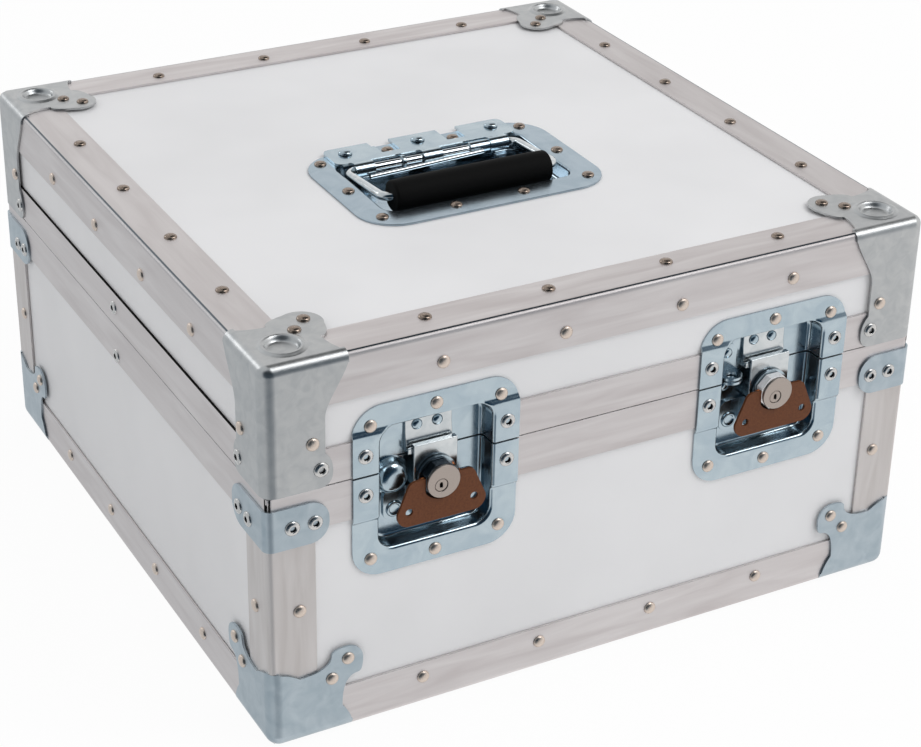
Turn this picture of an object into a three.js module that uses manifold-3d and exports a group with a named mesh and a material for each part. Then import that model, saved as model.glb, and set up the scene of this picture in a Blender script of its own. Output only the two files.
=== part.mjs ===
// Lens case: laminated plywood walls held in aluminium edging, with pressed steel corners,
// two key-lock butterfly catches in split dishes, a recessed lifting handle and two stop hinges.
// Millimetres. X runs along the front, the front faces -Y, Z is up, and the origin lies
// under the middle of the case, on the surface that it stands on.

import * as THREE from 'three';
import * as BufferGeometryUtils from 'three/addons/utils/BufferGeometryUtils.js';
import { RoundedBoxGeometry } from 'three/addons/geometries/RoundedBoxGeometry.js';
import Module from 'manifold-3d';

const wasm = await Module();
wasm.setup();

// Box over the outer faces of the edging
const caseWidth = 426;
const caseDepth = 430;
const caseHeight = 241;
const lidHeight = 77.5;
const partingGap = 0.4;
const wallThickness = 12;

// Clearances
const fitGap = 0.2;
const seatGap = 0.1;
const cutOver = 30;

// Aluminium edge angles
const sheetThickness = 1.5;
const angleLeg = 28.5;
const edgeRadius = 3.5;
const mitreGap = 0.3;

// Tongue and groove edging round the opening
const baseEdgingHeight = 25.5;
const lidEdgingHeight = 22.5;
const innerLegHeight = 20;
const edgingWeb = 2.4;
const tongueWidth = 3;
const tongueHeight = 3;
const tongueSideGap = 0.6;
const tongueTipGap = 0.6;

// Pressed steel corners and braces
const capThickness = 1.3;
const capTopLength = 49;
const capWaist = 34.6;
const capShoulderDrop = 32;
const capShoulderStart = 6;
const capToeRadius = 8;
const capToeOut = 31;
const capToeRise = 9.6;
const lobeRadius = 11.3;
const lobeCentre = 40;
const lobeNeckIn = 43;
const lobeNeckUp = 21;
const stackDishRadius = 12;
const stackDishInset = 20.5;
const stackDishDepth = 2.2;
const stackDishDraft = 2.5;
const footLength = 49.5;
const footLobeCentre = 46.5;
const footLobeRadius = 9.6;
const footNotchIn = 43;
const footNotchUp = 17;
const braceTopDrop = 7.5;
const braceHeight = 25.6;
const braceReach = 36.4;
const braceRoundShare = 0.45;

// Recessed dish of each catch
const catchInset = 101.9;
const dishFlangeWidth = 102.5;
const dishFlangeHeight = 107.6;
const dishFlangeRadius = 18;
const dishMiddleBelowParting = 12.6;
const dishOpeningWidth = 69;
const dishOpeningTop = 39;
const dishOpeningBottom = 38.1;
const dishOpeningRadius = 9;
const dishFloorDepth = 11.6;
const dishSheet = 1.2;
const dishFloorRadius = 2.6;
const dishJogRun = 2;
const dishJogMargin = 1.6;
const dishCutGap = 0.6;

// Place of the lock axis from the middle of the dish
const lockOffset = 1.6;

// Strike on the lid half of the dish
const strikeWidth = 29;
const strikeThickness = 1.6;
const strikeTop = 36.1;
const strikeRampTop = 26.6;
const strikeRampFoot = 18.5;
const strikeRampDepth = 8.7;
const strikeLipDepth = 5.8;
const strikeLipThickness = 1.3;
const strikeLipTop = 18.3;
const strikeLedge = 14.6;

// Bridge that carries the lock barrel, on the floor of the lower half
const bridgeFront = 1.6;
const bridgeThickness = 1.6;
const bridgeShoulder = 4;
const bridgeBossRadius = 12;
const bridgeBottom = 25;
const bridgeSideGap = 0.6;
const bridgeFootWidth = 13.5;
const bridgeFootTop = 7;
const bridgeFootBottom = 27;
const bridgeEdgeRadius = 5;

// Draw hook
const hookWidth = 27;
const hookThickness = 1.6;
const hookFront = 3.8;
const hookTop = 20.3;
const hookBottom = 13;
const hookTip = 7.6;
const hookCornerRadius = 4;
const hookTravel = 9;

// Lock barrel and key plug
const barrelRadius = 11;
const barrelFace = 6.3;
const barrelBack = 1.2;
const barrelFacets = 8;
const lockFaceRadius = 10.1;
const lockFaceHeight = 1.8;
const shaftRadius = 6.4;
const shaftGap = 0.3;
const crankPinRadius = 1.7;
const crankPinReach = 6.2;
const crankPinClearance = 1.2;
const plugRadius = 3.8;
const plugOffsetX = 1.5;
const plugOffsetZ = 2;
const plugGap = 0.25;
const plugInset = 0.3;
const plugLength = 4.4;
const keywayWidth = 1.2;
const keywayHeight = 4.6;
const keywayDepth = 2.4;

// Butterfly wing
const wingFront = 4.2;
const wingThickness = 1.6;
const wingEarThickness = 1.6;
const wingEarInner = 10.4;
const wingPivotDepth = 2.4;
const wingEarReach = 2.6;
const wingEarHalfHeight = 3;
const wingEarRoundShare = 0.9;
const wingLobeCentreX = 20.2;
const wingLobeDrop = 17.4;
const wingLobeRadius = 7.3;
const wingShoulderX = 16.2;
const wingShoulderDrop = 2;
const wingShoulderRadius = 5;
const wingNotchRadius = 11.8;
const wingHoleRadius = 2.3;
const wingHoleDrop = 15.6;
const wingPinRadius = 1.5;
const wingPinGap = 0.3;

// Domed buffer of the left catch
const bufferRadius = 10.3;
const bufferHeight = 8.3;
const bufferX = 23.5;
const bufferRise = 2.1;

// Padlock ears of the right catch
const earWidth = 14.5;
const earThickness = 1.5;
const earX = 26;
const earHoleRadius = 3.6;
const earHoleFromFloor = 8.6;
const earWingGap = 0.4;
const earUpperPlate = 18;
const earLowerPlate = 15;
const earPartingGap = 0.4;
const earCornerRadius = 5;
const earTabRoundShare = 0.98;

// Lifting handle in the lid
const handleX = -2.75;
const handleY = -30.2;
const handleFlangeWidth = 165;
const handleFlangeDepth = 111.6;
const handleFlangeRadius = 25;
const handleSheet = 1.2;
const handleOpeningWidth = 128;
const handleOpeningFront = 35.8;
const handleOpeningBack = 39;
const handleOpeningRadius = 8;
const handleDishDepth = 10.4;
const handleFloorRadius = 3;
const handleStrapInset = 1;
const handleStrapFrontGap = 0.6;
const handleStrapBack = 59.4;
const handleStrapThickness = 1.8;
const handleStrapRadius = 5;
const handleStrapNotchX = 25;
const handleStrapNotchWidth = 12.5;
const handleStrapNotchDepth = 6.5;
const bailRodRadius = 2.8;
const bailPivotBack = 31.7;
const bailSideGap = 2;
const bailGripFront = 21.8;
const bailGripRise = 2;
const bailPivotDrop = 4.2;
const lugOuterRadius = 4.9;
const lugBoreGap = 0.4;
const lugWidth = 13;
const lugEndGap = 2.9;
const gripRadius = 10.2;
const gripEndGap = 0.4;
const gripBoreGap = 0.2;
const gripEndRadius = 1.5;

// Stop hinges at the back
const hingeInset = 108;
const hingeWidth = 62;
const hingeLeafHeight = 21;
const hingeLeafThickness = 1.6;
const hingeAxisOffset = 4;
const hingeKnuckleRadius = 3.2;
const hingePinRadius = 1.6;
const hingeBoreGap = 0.25;
const hingeKnuckleGap = 0.3;
const hingeMiddleWidth = 26;
const hingeLeafClear = 0.5;
const hingeStopWidth = 14;
const hingeStopThickness = 1.6;
const hingeStopReach = 4.2;
const hingeStopDrop = 7.4;
const hingeOpenAngle = 95;
const hingeCornerRadius = 4;

// Foam inside
const basePadThickness = 20;
const lidPadThickness = 15;
const padSideGap = 1.5;
const padRelief = 2;

// Facets of round stretches
const arcSteps = 3;
const edgeSteps = 2;
const barrelSides = 20;
const rodSides = 8;
const knuckleSides = 12;
const gripSides = 18;

// Levels and planes worked out from the sizes above
const sideX = caseWidth / 2;
const frontY = -caseDepth / 2;
const backY = caseDepth / 2;
const partingZ = caseHeight - lidHeight;
const baseTopZ = partingZ - partingGap / 2;
const lidBottomZ = partingZ + partingGap / 2;
const skinInset = sheetThickness + fitGap;
const wallInset = skinInset + wallThickness;
const legInset = wallInset + fitGap;
const innerInset = legInset + sheetThickness;
const grooveDepth = tongueHeight - partingGap + tongueTipGap;
const lidWeb = grooveDepth + sheetThickness;
const capStand = capThickness + seatGap;
const dishMiddleZ = partingZ - dishMiddleBelowParting;
const lockZ = dishMiddleZ;
const handleTopZ = caseHeight - skinInset;
const catchX = sideX - catchInset;
const hingeX = sideX - hingeInset;
const handleStrapLength = handleOpeningWidth - 2 * handleStrapInset;
const bailHalfWidth = handleOpeningWidth / 2 - bailRodRadius - bailSideGap;
const bailInner = bailHalfWidth - bailRodRadius;
const lugSpacing = bailInner - lugEndGap - lugWidth / 2;
const gripLength = 2 * (bailInner - gripEndGap);
const hingeAxisY = backY + hingeAxisOffset;
const frontReach = barrelFace - frontY;
const backReach = hingeAxisY + hingeStopReach + hingeStopThickness;

// Colours and surface values of the finishes
const finishes = {
  laminate: { color: 0xe2e2e0, roughness: 0.4, metalness: 0 },
  aluminium: { color: 0xb8b4b1, roughness: 0.45, metalness: 1 },
  zinc: { color: 0xaebbc3, roughness: 0.3, metalness: 1 },
  chrome: { color: 0xc9ced2, roughness: 0.12, metalness: 1 },
  lockFace: { color: 0xa39b95, roughness: 0.4, metalness: 1 },
  bronzePaint: { color: 0x67402b, roughness: 0.45, metalness: 0 },
  rubber: { color: 0x141414, roughness: 0.8, metalness: 0 },
  foam: { color: 0x2a2c30, roughness: 0.95, metalness: 0 },
};

// Turns a closed geometry into a solid that can be joined and cut
function toSolid(geometry) {
  geometry.deleteAttribute('normal');
  geometry.deleteAttribute('uv');
  const welded = BufferGeometryUtils.mergeVertices(geometry);
  return new wasm.Manifold(new wasm.Mesh({
    numProp: 3,
    vertProperties: welded.attributes.position.array,
    triVerts: new Uint32Array(welded.index.array),
  }));
}

function toGeometry(solid) {
  const mesh = solid.getMesh();
  const geometry = new THREE.BufferGeometry();
  geometry.setAttribute('position', new THREE.BufferAttribute(mesh.vertProperties, 3));
  geometry.setIndex(new THREE.BufferAttribute(mesh.triVerts, 1));
  return geometry;
}

function joined(solids) {
  return solids.reduce((whole, piece) => whole.add(piece));
}

// Copies a solid to the other side of the case, keeping its faces outward
function mirrored(solid, signX, signY) {
  const geometry = toGeometry(solid);
  geometry.applyMatrix4(new THREE.Matrix4().makeScale(signX, signY, 1));
  if (signX * signY < 0) {
    const index = geometry.index.array;
    for (let i = 0; i < index.length; i += 3) {
      [index[i], index[i + 1]] = [index[i + 1], index[i]];
    }
  }
  return toSolid(geometry);
}

function moved(solid, x, y, z) {
  const geometry = toGeometry(solid);
  geometry.translate(x, y, z);
  return toSolid(geometry);
}

function block(x0, x1, y0, y1, z0, z1) {
  const geometry = new THREE.BoxGeometry(x1 - x0, y1 - y0, z1 - z0);
  geometry.translate((x0 + x1) / 2, (y0 + y1) / 2, (z0 + z1) / 2);
  return toSolid(geometry);
}

// Directions of an outline's two axes and of its depth, for each extrusion axis
const extrusionFrames = {
  x: [new THREE.Vector3(0, 1, 0), new THREE.Vector3(0, 0, 1), new THREE.Vector3(1, 0, 0)],
  y: [new THREE.Vector3(1, 0, 0), new THREE.Vector3(0, 0, 1), new THREE.Vector3(0, -1, 0)],
  z: [new THREE.Vector3(1, 0, 0), new THREE.Vector3(0, 1, 0), new THREE.Vector3(0, 0, 1)],
};

// Extrudes an outline between two places along an axis, with rounded far edges if asked
function extruded(shape, axis, from, to, roundRadius = 0) {
  const rounding = roundRadius > 0;
  const depth = to - from - 2 * roundRadius;
  const geometry = new THREE.ExtrudeGeometry(shape, {
    depth,
    curveSegments: arcSteps,
    bevelEnabled: rounding,
    bevelThickness: roundRadius,
    bevelSize: roundRadius,
    bevelOffset: -roundRadius,
    bevelSegments: rounding ? edgeSteps : 0,
  });
  geometry.translate(0, 0, roundRadius);
  geometry.applyMatrix4(new THREE.Matrix4().makeBasis(...extrusionFrames[axis]));
  const start = axis === 'y' ? to : from;
  geometry.translate(axis === 'x' ? start : 0, axis === 'y' ? start : 0, axis === 'z' ? start : 0);
  return toSolid(geometry);
}

function polygon(points) {
  return new THREE.Shape(points.map(([a, b]) => new THREE.Vector2(a, b)));
}

// Rectangle with one radius at all corners, or at the corners with a true flag,
// counted anticlockwise from the lowest left one
function roundedRectangle(a0, a1, b0, b1, radius, corners = [true, true, true, true]) {
  const places = [[a0, b0, 1, 1], [a1, b0, -1, 1], [a1, b1, -1, -1], [a0, b1, 1, -1]];
  const shape = new THREE.Shape();
  places.forEach(([a, b, towardA, towardB], i) => {
    const turn = Math.PI + i * Math.PI / 2;
    if (!corners[i]) {
      if (i === 0) shape.moveTo(a, b);
      else shape.lineTo(a, b);
      return;
    }
    const centreA = a + towardA * radius;
    const centreB = b + towardB * radius;
    const start = [centreA + radius * Math.cos(turn), centreB + radius * Math.sin(turn)];
    if (i === 0) shape.moveTo(...start);
    else shape.lineTo(...start);
    shape.absarc(centreA, centreB, radius, turn, turn + Math.PI / 2, false);
  });
  shape.closePath();
  return shape;
}

function circle(a, b, radius) {
  const shape = new THREE.Shape();
  shape.absarc(a, b, radius, 0, 2 * Math.PI, false);
  return shape;
}

function cylinder(axis, radius, centreA, centreB, from, to, sides, turn = 0) {
  const geometry = new THREE.CylinderGeometry(radius, radius, to - from, sides);
  geometry.rotateY(turn);
  const middle = (from + to) / 2;
  if (axis === 'x') {
    geometry.rotateZ(Math.PI / 2);
    geometry.translate(middle, centreA, centreB);
  } else if (axis === 'y') {
    geometry.translate(centreA, middle, centreB);
  } else {
    geometry.rotateX(Math.PI / 2);
    geometry.translate(centreA, centreB, middle);
  }
  return toSolid(geometry);
}

const group = new THREE.Group();
group.position.set(0, (frontReach - backReach) / 2, capStand);

function place(name, solid, finish) {
  const mesh = new THREE.Mesh(toGeometry(solid), new THREE.MeshStandardMaterial(finishes[finish]));
  mesh.name = name;
  group.add(mesh);
}

// Case box grown by a margin, with its edges rounded
function envelope(margin, radius) {
  const geometry = new RoundedBoxGeometry(
    caseWidth + 2 * margin,
    caseDepth + 2 * margin,
    caseHeight + 2 * margin,
    edgeSteps,
    radius,
  );
  geometry.translate(0, 0, caseHeight / 2);
  return toSolid(geometry);
}

// Upright ring that follows the case walls between two insets and two levels
function wallRing(outerInset, innerInsetHere, z0, z1, radius = 0) {
  const rounded = Array(4).fill(radius > 0);
  const shape = roundedRectangle(
    -sideX + outerInset,
    sideX - outerInset,
    frontY + outerInset,
    backY - outerInset,
    radius,
    rounded,
  );
  shape.holes.push(polygon([
    [-sideX + innerInsetHere, frontY + innerInsetHere],
    [-sideX + innerInsetHere, backY - innerInsetHere],
    [sideX - innerInsetHere, backY - innerInsetHere],
    [sideX - innerInsetHere, frontY + innerInsetHere],
  ]));
  return extruded(shape, 'z', z0, z1);
}

// Outline of a catch dish opening, in X from the catch middle and in Z, grown by a margin
function dishOutline(margin) {
  return roundedRectangle(
    -dishOpeningWidth / 2 - margin,
    dishOpeningWidth / 2 + margin,
    dishMiddleZ - dishOpeningBottom - margin,
    dishMiddleZ + dishOpeningTop + margin,
    dishOpeningRadius + margin,
  );
}

// What the two dishes take out of the wall, from the outside to a depth
function dishCut(depth) {
  const cut = extruded(dishOutline(dishSheet + dishCutGap), 'y', frontY - cutOver, frontY + depth);
  return moved(cut, -catchX, 0, 0).add(moved(cut, catchX, 0, 0));
}

const wallCut = dishCut(wallInset + cutOver);
const edgingCut = dishCut(dishFloorDepth + dishSheet + seatGap);

// Pocket of the lifting handle in the lid, grown by a margin, down to a depth
function handlePocket(margin, depth, radius = 0) {
  const shape = roundedRectangle(
    handleX - handleOpeningWidth / 2 - margin,
    handleX + handleOpeningWidth / 2 + margin,
    handleY - handleOpeningFront - margin,
    handleY + handleOpeningBack + margin,
    handleOpeningRadius + margin,
  );
  return extruded(shape, 'z', handleTopZ - depth, handleTopZ + cutOver, radius);
}

const handleCut = handlePocket(handleSheet + fitGap, handleDishDepth + cutOver);

// Hollows under the stacking dishes of the four lid corners
function stackRelief() {
  const one = cylinder(
    'z',
    stackDishRadius + capThickness + fitGap,
    -sideX + stackDishInset,
    frontY + stackDishInset,
    caseHeight - stackDishDepth - capThickness - fitGap,
    caseHeight + cutOver,
    barrelSides,
  );
  return joined([one, mirrored(one, -1, 1), mirrored(one, 1, -1), mirrored(one, -1, -1)]);
}

const stackCut = stackRelief();

// Plywood panels of one half of the case, between two levels, with a board at one end
function panels(half, boardZ0, wallZ0, wallZ1, cuts) {
  const wide = sideX - skinInset;
  const deep = backY - skinInset;
  const inner = backY - wallInset - fitGap;
  const pieces = {
    front: block(-wide, wide, -deep, -deep + wallThickness, wallZ0, wallZ1),
    back: block(-wide, wide, deep - wallThickness, deep, wallZ0, wallZ1),
    left: block(-wide, -wide + wallThickness, -inner, inner, wallZ0, wallZ1),
    right: block(wide - wallThickness, wide, -inner, inner, wallZ0, wallZ1),
  };
  const board = block(-wide, wide, -deep, deep, boardZ0, boardZ0 + wallThickness);
  const boardName = half === 'base' ? 'base_floor_panel' : 'lid_top_panel';
  place(boardName, cuts.board ? board.subtract(cuts.board) : board, 'laminate');
  for (const [side, piece] of Object.entries(pieces)) {
    place(`${half}_${side}_panel`, side === 'front' ? piece.subtract(wallCut) : piece, 'laminate');
  }
}

panels(
  'base',
  skinInset,
  skinInset + wallThickness + fitGap,
  baseTopZ - edgingWeb - fitGap,
  {},
);
panels(
  'lid',
  handleTopZ - wallThickness,
  lidBottomZ + lidWeb + fitGap,
  handleTopZ - wallThickness - fitGap,
  { board: handleCut.add(stackCut) },
);

// Base edging: a channel over the wall tops with a tongue that stands up
function baseEdging() {
  const outerLeg = wallRing(0, sheetThickness, baseTopZ - baseEdgingHeight, baseTopZ, edgeRadius);
  const web = wallRing(0, innerInset, baseTopZ - edgingWeb, baseTopZ, edgeRadius);
  const innerLeg = wallRing(legInset, innerInset, baseTopZ - innerLegHeight, baseTopZ);
  const tongueInset = skinInset + (wallThickness - tongueWidth) / 2;
  const tongue = wallRing(
    tongueInset,
    tongueInset + tongueWidth,
    baseTopZ - edgingWeb,
    baseTopZ + tongueHeight,
    edgeRadius,
  );
  return joined([outerLeg, web, innerLeg, tongue]).subtract(edgingCut);
}

// Lid edging: a channel under the wall ends with a groove that takes the tongue
function lidEdging() {
  const outerLeg = wallRing(0, sheetThickness, lidBottomZ, lidBottomZ + lidEdgingHeight, edgeRadius);
  const web = wallRing(0, innerInset, lidBottomZ, lidBottomZ + lidWeb, edgeRadius);
  const innerLeg = wallRing(legInset, innerInset, lidBottomZ, lidBottomZ + innerLegHeight);
  const grooveInset = skinInset + (wallThickness - tongueWidth) / 2 - tongueSideGap;
  const groove = wallRing(
    grooveInset,
    grooveInset + tongueWidth + 2 * tongueSideGap,
    lidBottomZ - cutOver,
    lidBottomZ + grooveDepth,
    edgeRadius,
  );
  return joined([outerLeg, web, innerLeg]).subtract(groove).subtract(edgingCut);
}

place('base_tongue_frame', baseEdging(), 'aluminium');
place('lid_groove_frame', lidEdging(), 'aluminium');

// Wedge over one side of the case that ends the edge angles in mitres
function mitreWedge(side) {
  const reach = 2 * angleLeg;
  const gap = mitreGap / 2;
  const along = side === 'front' || side === 'back' ? sideX : backY;
  const across = side === 'front' || side === 'back' ? backY : sideX;
  const points = [
    [-along - reach + gap, -across - reach],
    [along + reach - gap, -across - reach],
    [along - reach - gap, -across + reach],
    [-along + reach + gap, -across + reach],
  ];
  const turned = {
    front: ([a, b]) => [a, b],
    back: ([a, b]) => [-a, -b],
    right: ([a, b]) => [-b, a],
    left: ([a, b]) => [b, -a],
  }[side];
  return extruded(polygon(points.map(turned)), 'z', -cutOver, caseHeight + cutOver);
}

// Edge angles round the top or the bottom: one leg lies flat and one stands
function edgeAngles(level) {
  const flatZ0 = level === 'top' ? caseHeight - sheetThickness : 0;
  const standZ0 = level === 'top' ? caseHeight - angleLeg : 0;
  const ring = wallRing(0, angleLeg, flatZ0, flatZ0 + sheetThickness, edgeRadius)
    .add(wallRing(0, sheetThickness, standZ0, standZ0 + angleLeg, edgeRadius))
    .intersect(envelope(0, edgeRadius));
  const trimmed = level === 'top' ? ring.subtract(stackCut) : ring;
  for (const side of ['front', 'back', 'left', 'right']) {
    place(`${level}_angle_${side}`, trimmed.intersect(mitreWedge(side)), 'aluminium');
  }
}

edgeAngles('top');
edgeAngles('bottom');

// The four corners of the case, by the signs of X and Y
const corners = [['front_left', 1, 1], ['front_right', -1, 1], ['back_left', 1, -1], ['back_right', -1, -1]];

// Upright angle on each corner of the base, between the bottom angle and the edging
function postAngle() {
  const z0 = angleLeg + fitGap;
  const z1 = baseTopZ - baseEdgingHeight - fitGap;
  return wallRing(0, sheetThickness, z0, z1, edgeRadius).intersect(
    block(-sideX, -sideX + angleLeg, frontY, frontY + angleLeg, z0, z1),
  );
}

const post = postAngle();
for (const [name, signX, signY] of corners) {
  place(`post_angle_${name}`, mirrored(post, signX, signY), 'aluminium');
}

// Skin of pressed steel that wraps the whole case; corners and braces are cut from it
const capSkin = envelope(capStand, edgeRadius + capStand).subtract(envelope(seatGap, edgeRadius + seatGap));
const leafDepth = edgeRadius + capStand;

// Cuts a leaf of the skin: an outline on the front, left, top or bottom face, in millimetres
// from the front left upright edge and from the face's lower or nearer edge
function leaf(face, shape) {
  if (face === 'front') {
    const stamp = extruded(shape, 'y', frontY - cutOver, frontY + leafDepth);
    return moved(stamp, -sideX, 0, 0);
  }
  if (face === 'left') {
    const stamp = extruded(shape, 'x', -sideX - cutOver, -sideX + leafDepth);
    return moved(stamp, 0, frontY, 0);
  }
  const low = face === 'top' ? caseHeight - leafDepth : -cutOver;
  const high = face === 'top' ? caseHeight + cutOver : leafDepth;
  return moved(extruded(shape, 'z', low, high), -sideX, frontY, 0);
}

// Upright leaf of a lid corner: wide at the top, waisted, with a round toe at the parting line
function lidCornerSide() {
  const over = cutOver / 2;
  const topZ = caseHeight + over;
  const shoulderZ = caseHeight - capShoulderDrop;
  const toeZ = lidBottomZ + capToeRise;
  const toeTop = toeZ + Math.sqrt(capToeRadius ** 2 - (capWaist - capToeOut) ** 2);
  const shape = new THREE.Shape();
  shape.moveTo(-over, lidBottomZ);
  shape.lineTo(capToeOut, lidBottomZ);
  shape.quadraticCurveTo(capToeOut + capToeRadius, lidBottomZ, capToeOut + capToeRadius, toeZ);
  shape.quadraticCurveTo(capToeOut + capToeRadius, toeTop, capWaist, toeTop + capToeRadius / 2);
  shape.lineTo(capWaist, shoulderZ);
  shape.bezierCurveTo(
    capWaist,
    shoulderZ + capShoulderDrop / 2,
    capTopLength,
    caseHeight - capShoulderDrop / 2,
    capTopLength,
    caseHeight - capShoulderStart,
  );
  shape.lineTo(capTopLength, topZ);
  shape.lineTo(-over, topZ);
  shape.closePath();
  return shape;
}

// Point of an outline seen across the diagonal of a square face
function across([a, b]) {
  return [b, a];
}

// Flat leaf of a lid corner: one lobe on the diagonal, necked to the case edges
function lidCornerTop() {
  const over = cutOver / 2;
  const neck = [lobeNeckIn, lobeNeckUp];
  const swell = [lobeCentre + lobeRadius, lobeCentre - lobeRadius / 2];
  const shape = new THREE.Shape();
  shape.moveTo(-over, -over);
  shape.lineTo(capTopLength, -over);
  shape.lineTo(capTopLength, 0);
  shape.quadraticCurveTo(neck[0], neck[1] / 2, ...neck);
  shape.quadraticCurveTo(neck[0] + lobeRadius / 2, neck[1], ...swell);
  shape.absarc(lobeCentre, lobeCentre, lobeRadius * Math.hypot(1, 1 / 2), -Math.atan(1 / 2),
    Math.PI / 2 + Math.atan(1 / 2), false);
  shape.quadraticCurveTo(...across([neck[0] + lobeRadius / 2, neck[1]]), ...across(neck));
  shape.quadraticCurveTo(...across([neck[0], neck[1] / 2]), 0, capTopLength);
  shape.lineTo(-over, capTopLength);
  shape.closePath();
  return shape;
}

// Leaf of a bottom corner: a round lobe on the diagonal between two notches
function footLeaf() {
  const over = cutOver / 2;
  const notch = [footNotchIn, footNotchUp];
  const side = [footLobeCentre + footLobeRadius, footLobeCentre];
  const shape = new THREE.Shape();
  shape.moveTo(-over, -over);
  shape.lineTo(footLength, -over);
  shape.lineTo(footLength, 0);
  shape.quadraticCurveTo(footLength, notch[1] / 2, ...notch);
  shape.quadraticCurveTo(notch[0], side[1] - footLobeRadius, side[0] - footLobeRadius / 3, side[1] - footLobeRadius);
  shape.quadraticCurveTo(side[0], side[1] - footLobeRadius, ...side);
  shape.absarc(footLobeCentre, footLobeCentre, footLobeRadius, 0, Math.PI / 2, false);
  shape.quadraticCurveTo(
    ...across([side[0], side[1] - footLobeRadius]),
    ...across([side[0] - footLobeRadius / 3, side[1] - footLobeRadius]),
  );
  shape.quadraticCurveTo(...across([notch[0], side[1] - footLobeRadius]), ...across(notch));
  shape.quadraticCurveTo(...across([footLength, notch[1] / 2]), 0, footLength);
  shape.lineTo(-over, footLength);
  shape.closePath();
  return shape;
}

// Stacking dish pressed into the flat leaf of a lid corner
function stackDish(grow) {
  const points = [
    [0, caseHeight - stackDishDepth - grow],
    [stackDishRadius - stackDishDraft + grow, caseHeight - stackDishDepth - grow],
    [stackDishRadius + grow, caseHeight + capStand - (grow > 0 ? capThickness / 2 : 0)],
  ];
  const top = grow > 0 ? points[2][1] : caseHeight + cutOver;
  points.push([points[2][0], top], [0, top]);
  const profile = points.map(([radius, z]) => new THREE.Vector2(radius, z));
  const geometry = new THREE.LatheGeometry(profile, barrelSides);
  geometry.rotateX(Math.PI / 2);
  geometry.translate(-sideX + stackDishInset, frontY + stackDishInset, 0);
  return toSolid(geometry);
}

function lidCorner() {
  const side = lidCornerSide();
  const stamps = joined([leaf('front', side), leaf('left', side), leaf('top', lidCornerTop())]);
  return capSkin.intersect(stamps).add(stackDish(capThickness)).subtract(stackDish(0));
}

function bottomCorner() {
  const outline = footLeaf();
  return capSkin.intersect(joined([leaf('front', outline), leaf('left', outline), leaf('bottom', outline)]));
}

// Brace across the joint of the post and the edging
function cornerBrace() {
  const z1 = partingZ - braceTopDrop;
  const z0 = z1 - braceHeight;
  const over = cutOver / 2;
  const shape = roundedRectangle(-over, braceReach, z0, z1, braceRoundShare * braceHeight, [false, true, true, false]);
  return capSkin.intersect(leaf('front', shape).add(leaf('left', shape)));
}

const cornerPieces = [['lid_corner', lidCorner()], ['bottom_corner', bottomCorner()], ['corner_brace', cornerBrace()]];
for (const [piece, solid] of cornerPieces) {
  for (const [name, signX, signY] of corners) {
    place(`${piece}_${name}`, mirrored(solid, signX, signY), 'zinc');
  }
}

// Front face of the dish flange as heights above the case front, from its foot to its top:
// it lies on the laminate, steps up over the edging and steps down again
function flangeFaces() {
  const low = skinInset - seatGap - dishSheet;
  const high = -seatGap - dishSheet;
  const bottomZ = dishMiddleZ - dishFlangeHeight / 2;
  const topZ = dishMiddleZ + dishFlangeHeight / 2;
  const stepZ0 = baseTopZ - baseEdgingHeight - dishJogMargin;
  const stepZ1 = lidBottomZ + lidEdgingHeight + dishJogMargin;
  return [
    [frontY + low, bottomZ],
    [frontY + low, stepZ0 - dishJogRun],
    [frontY + high, stepZ0],
    [frontY + high, stepZ1],
    [frontY + low, stepZ1 + dishJogRun],
    [frontY + low, topZ],
  ];
}

// Whole pressed dish of a catch, before it is parted into its two halves
function dish() {
  const faces = flangeFaces();
  const half = dishFlangeWidth / 2;
  const backFaces = faces.map(([y, z]) => [y + dishSheet, z]).reverse();
  const behind = [
    ...faces,
    [frontY + wallInset + cutOver, dishMiddleZ + dishFlangeHeight / 2],
    [frontY + wallInset + cutOver, dishMiddleZ - dishFlangeHeight / 2],
  ];
  const flangeOutline = roundedRectangle(
    -half,
    half,
    dishMiddleZ - dishFlangeHeight / 2,
    dishMiddleZ + dishFlangeHeight / 2,
    dishFlangeRadius,
  );
  const flange = extruded(polygon([...faces, ...backFaces]), 'x', -half, half)
    .intersect(extruded(flangeOutline, 'y', frontY - cutOver, frontY + cutOver));
  const floorY = frontY + dishFloorDepth;
  const shell = extruded(
    dishOutline(dishSheet),
    'y',
    frontY - cutOver,
    floorY + dishSheet,
    dishFloorRadius + dishSheet,
  ).intersect(extruded(polygon(behind), 'x', -half, half));
  const hollow = extruded(dishOutline(0), 'y', frontY - 2 * cutOver, floorY, dishFloorRadius);
  return flange.add(shell).subtract(hollow);
}

// Bridge over the draw hook: a hat section with a round boss for the barrel and two feet
function bridge() {
  const inner = hookWidth / 2 + bridgeSideGap;
  const outer = inner + bridgeThickness;
  const y0 = frontY + bridgeFront;
  const floorY = frontY + dishFloorDepth;
  const z0 = lockZ - bridgeBottom;
  const plateOutline = roundedRectangle(-outer, outer, z0, lockZ - bridgeShoulder, bridgeEdgeRadius,
    [true, true, false, false]);
  const plate = extruded(plateOutline, 'y', y0, floorY + dishSheet / 2);
  const tunnel = block(-inner, inner, y0 + bridgeThickness, floorY + dishSheet, z0 - cutOver,
    lockZ + cutOver);
  const boss = cylinder('y', bridgeBossRadius, 0, lockZ, y0, y0 + bridgeThickness, barrelSides);
  const bore = cylinder('y', shaftRadius + shaftGap, 0, lockZ, y0 - cutOver, floorY - seatGap, barrelSides);
  const footOutline = roundedRectangle(
    -outer - bridgeFootWidth,
    outer + bridgeFootWidth,
    lockZ - bridgeFootBottom,
    lockZ - bridgeFootTop,
    bridgeEdgeRadius,
  );
  const feet = extruded(footOutline, 'y', floorY - bridgeThickness, floorY + dishSheet / 2)
    .subtract(tunnel);
  return moved(joined([plate.subtract(tunnel), boss, feet]).subtract(bore), lockOffset, 0, 0);
}

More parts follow.
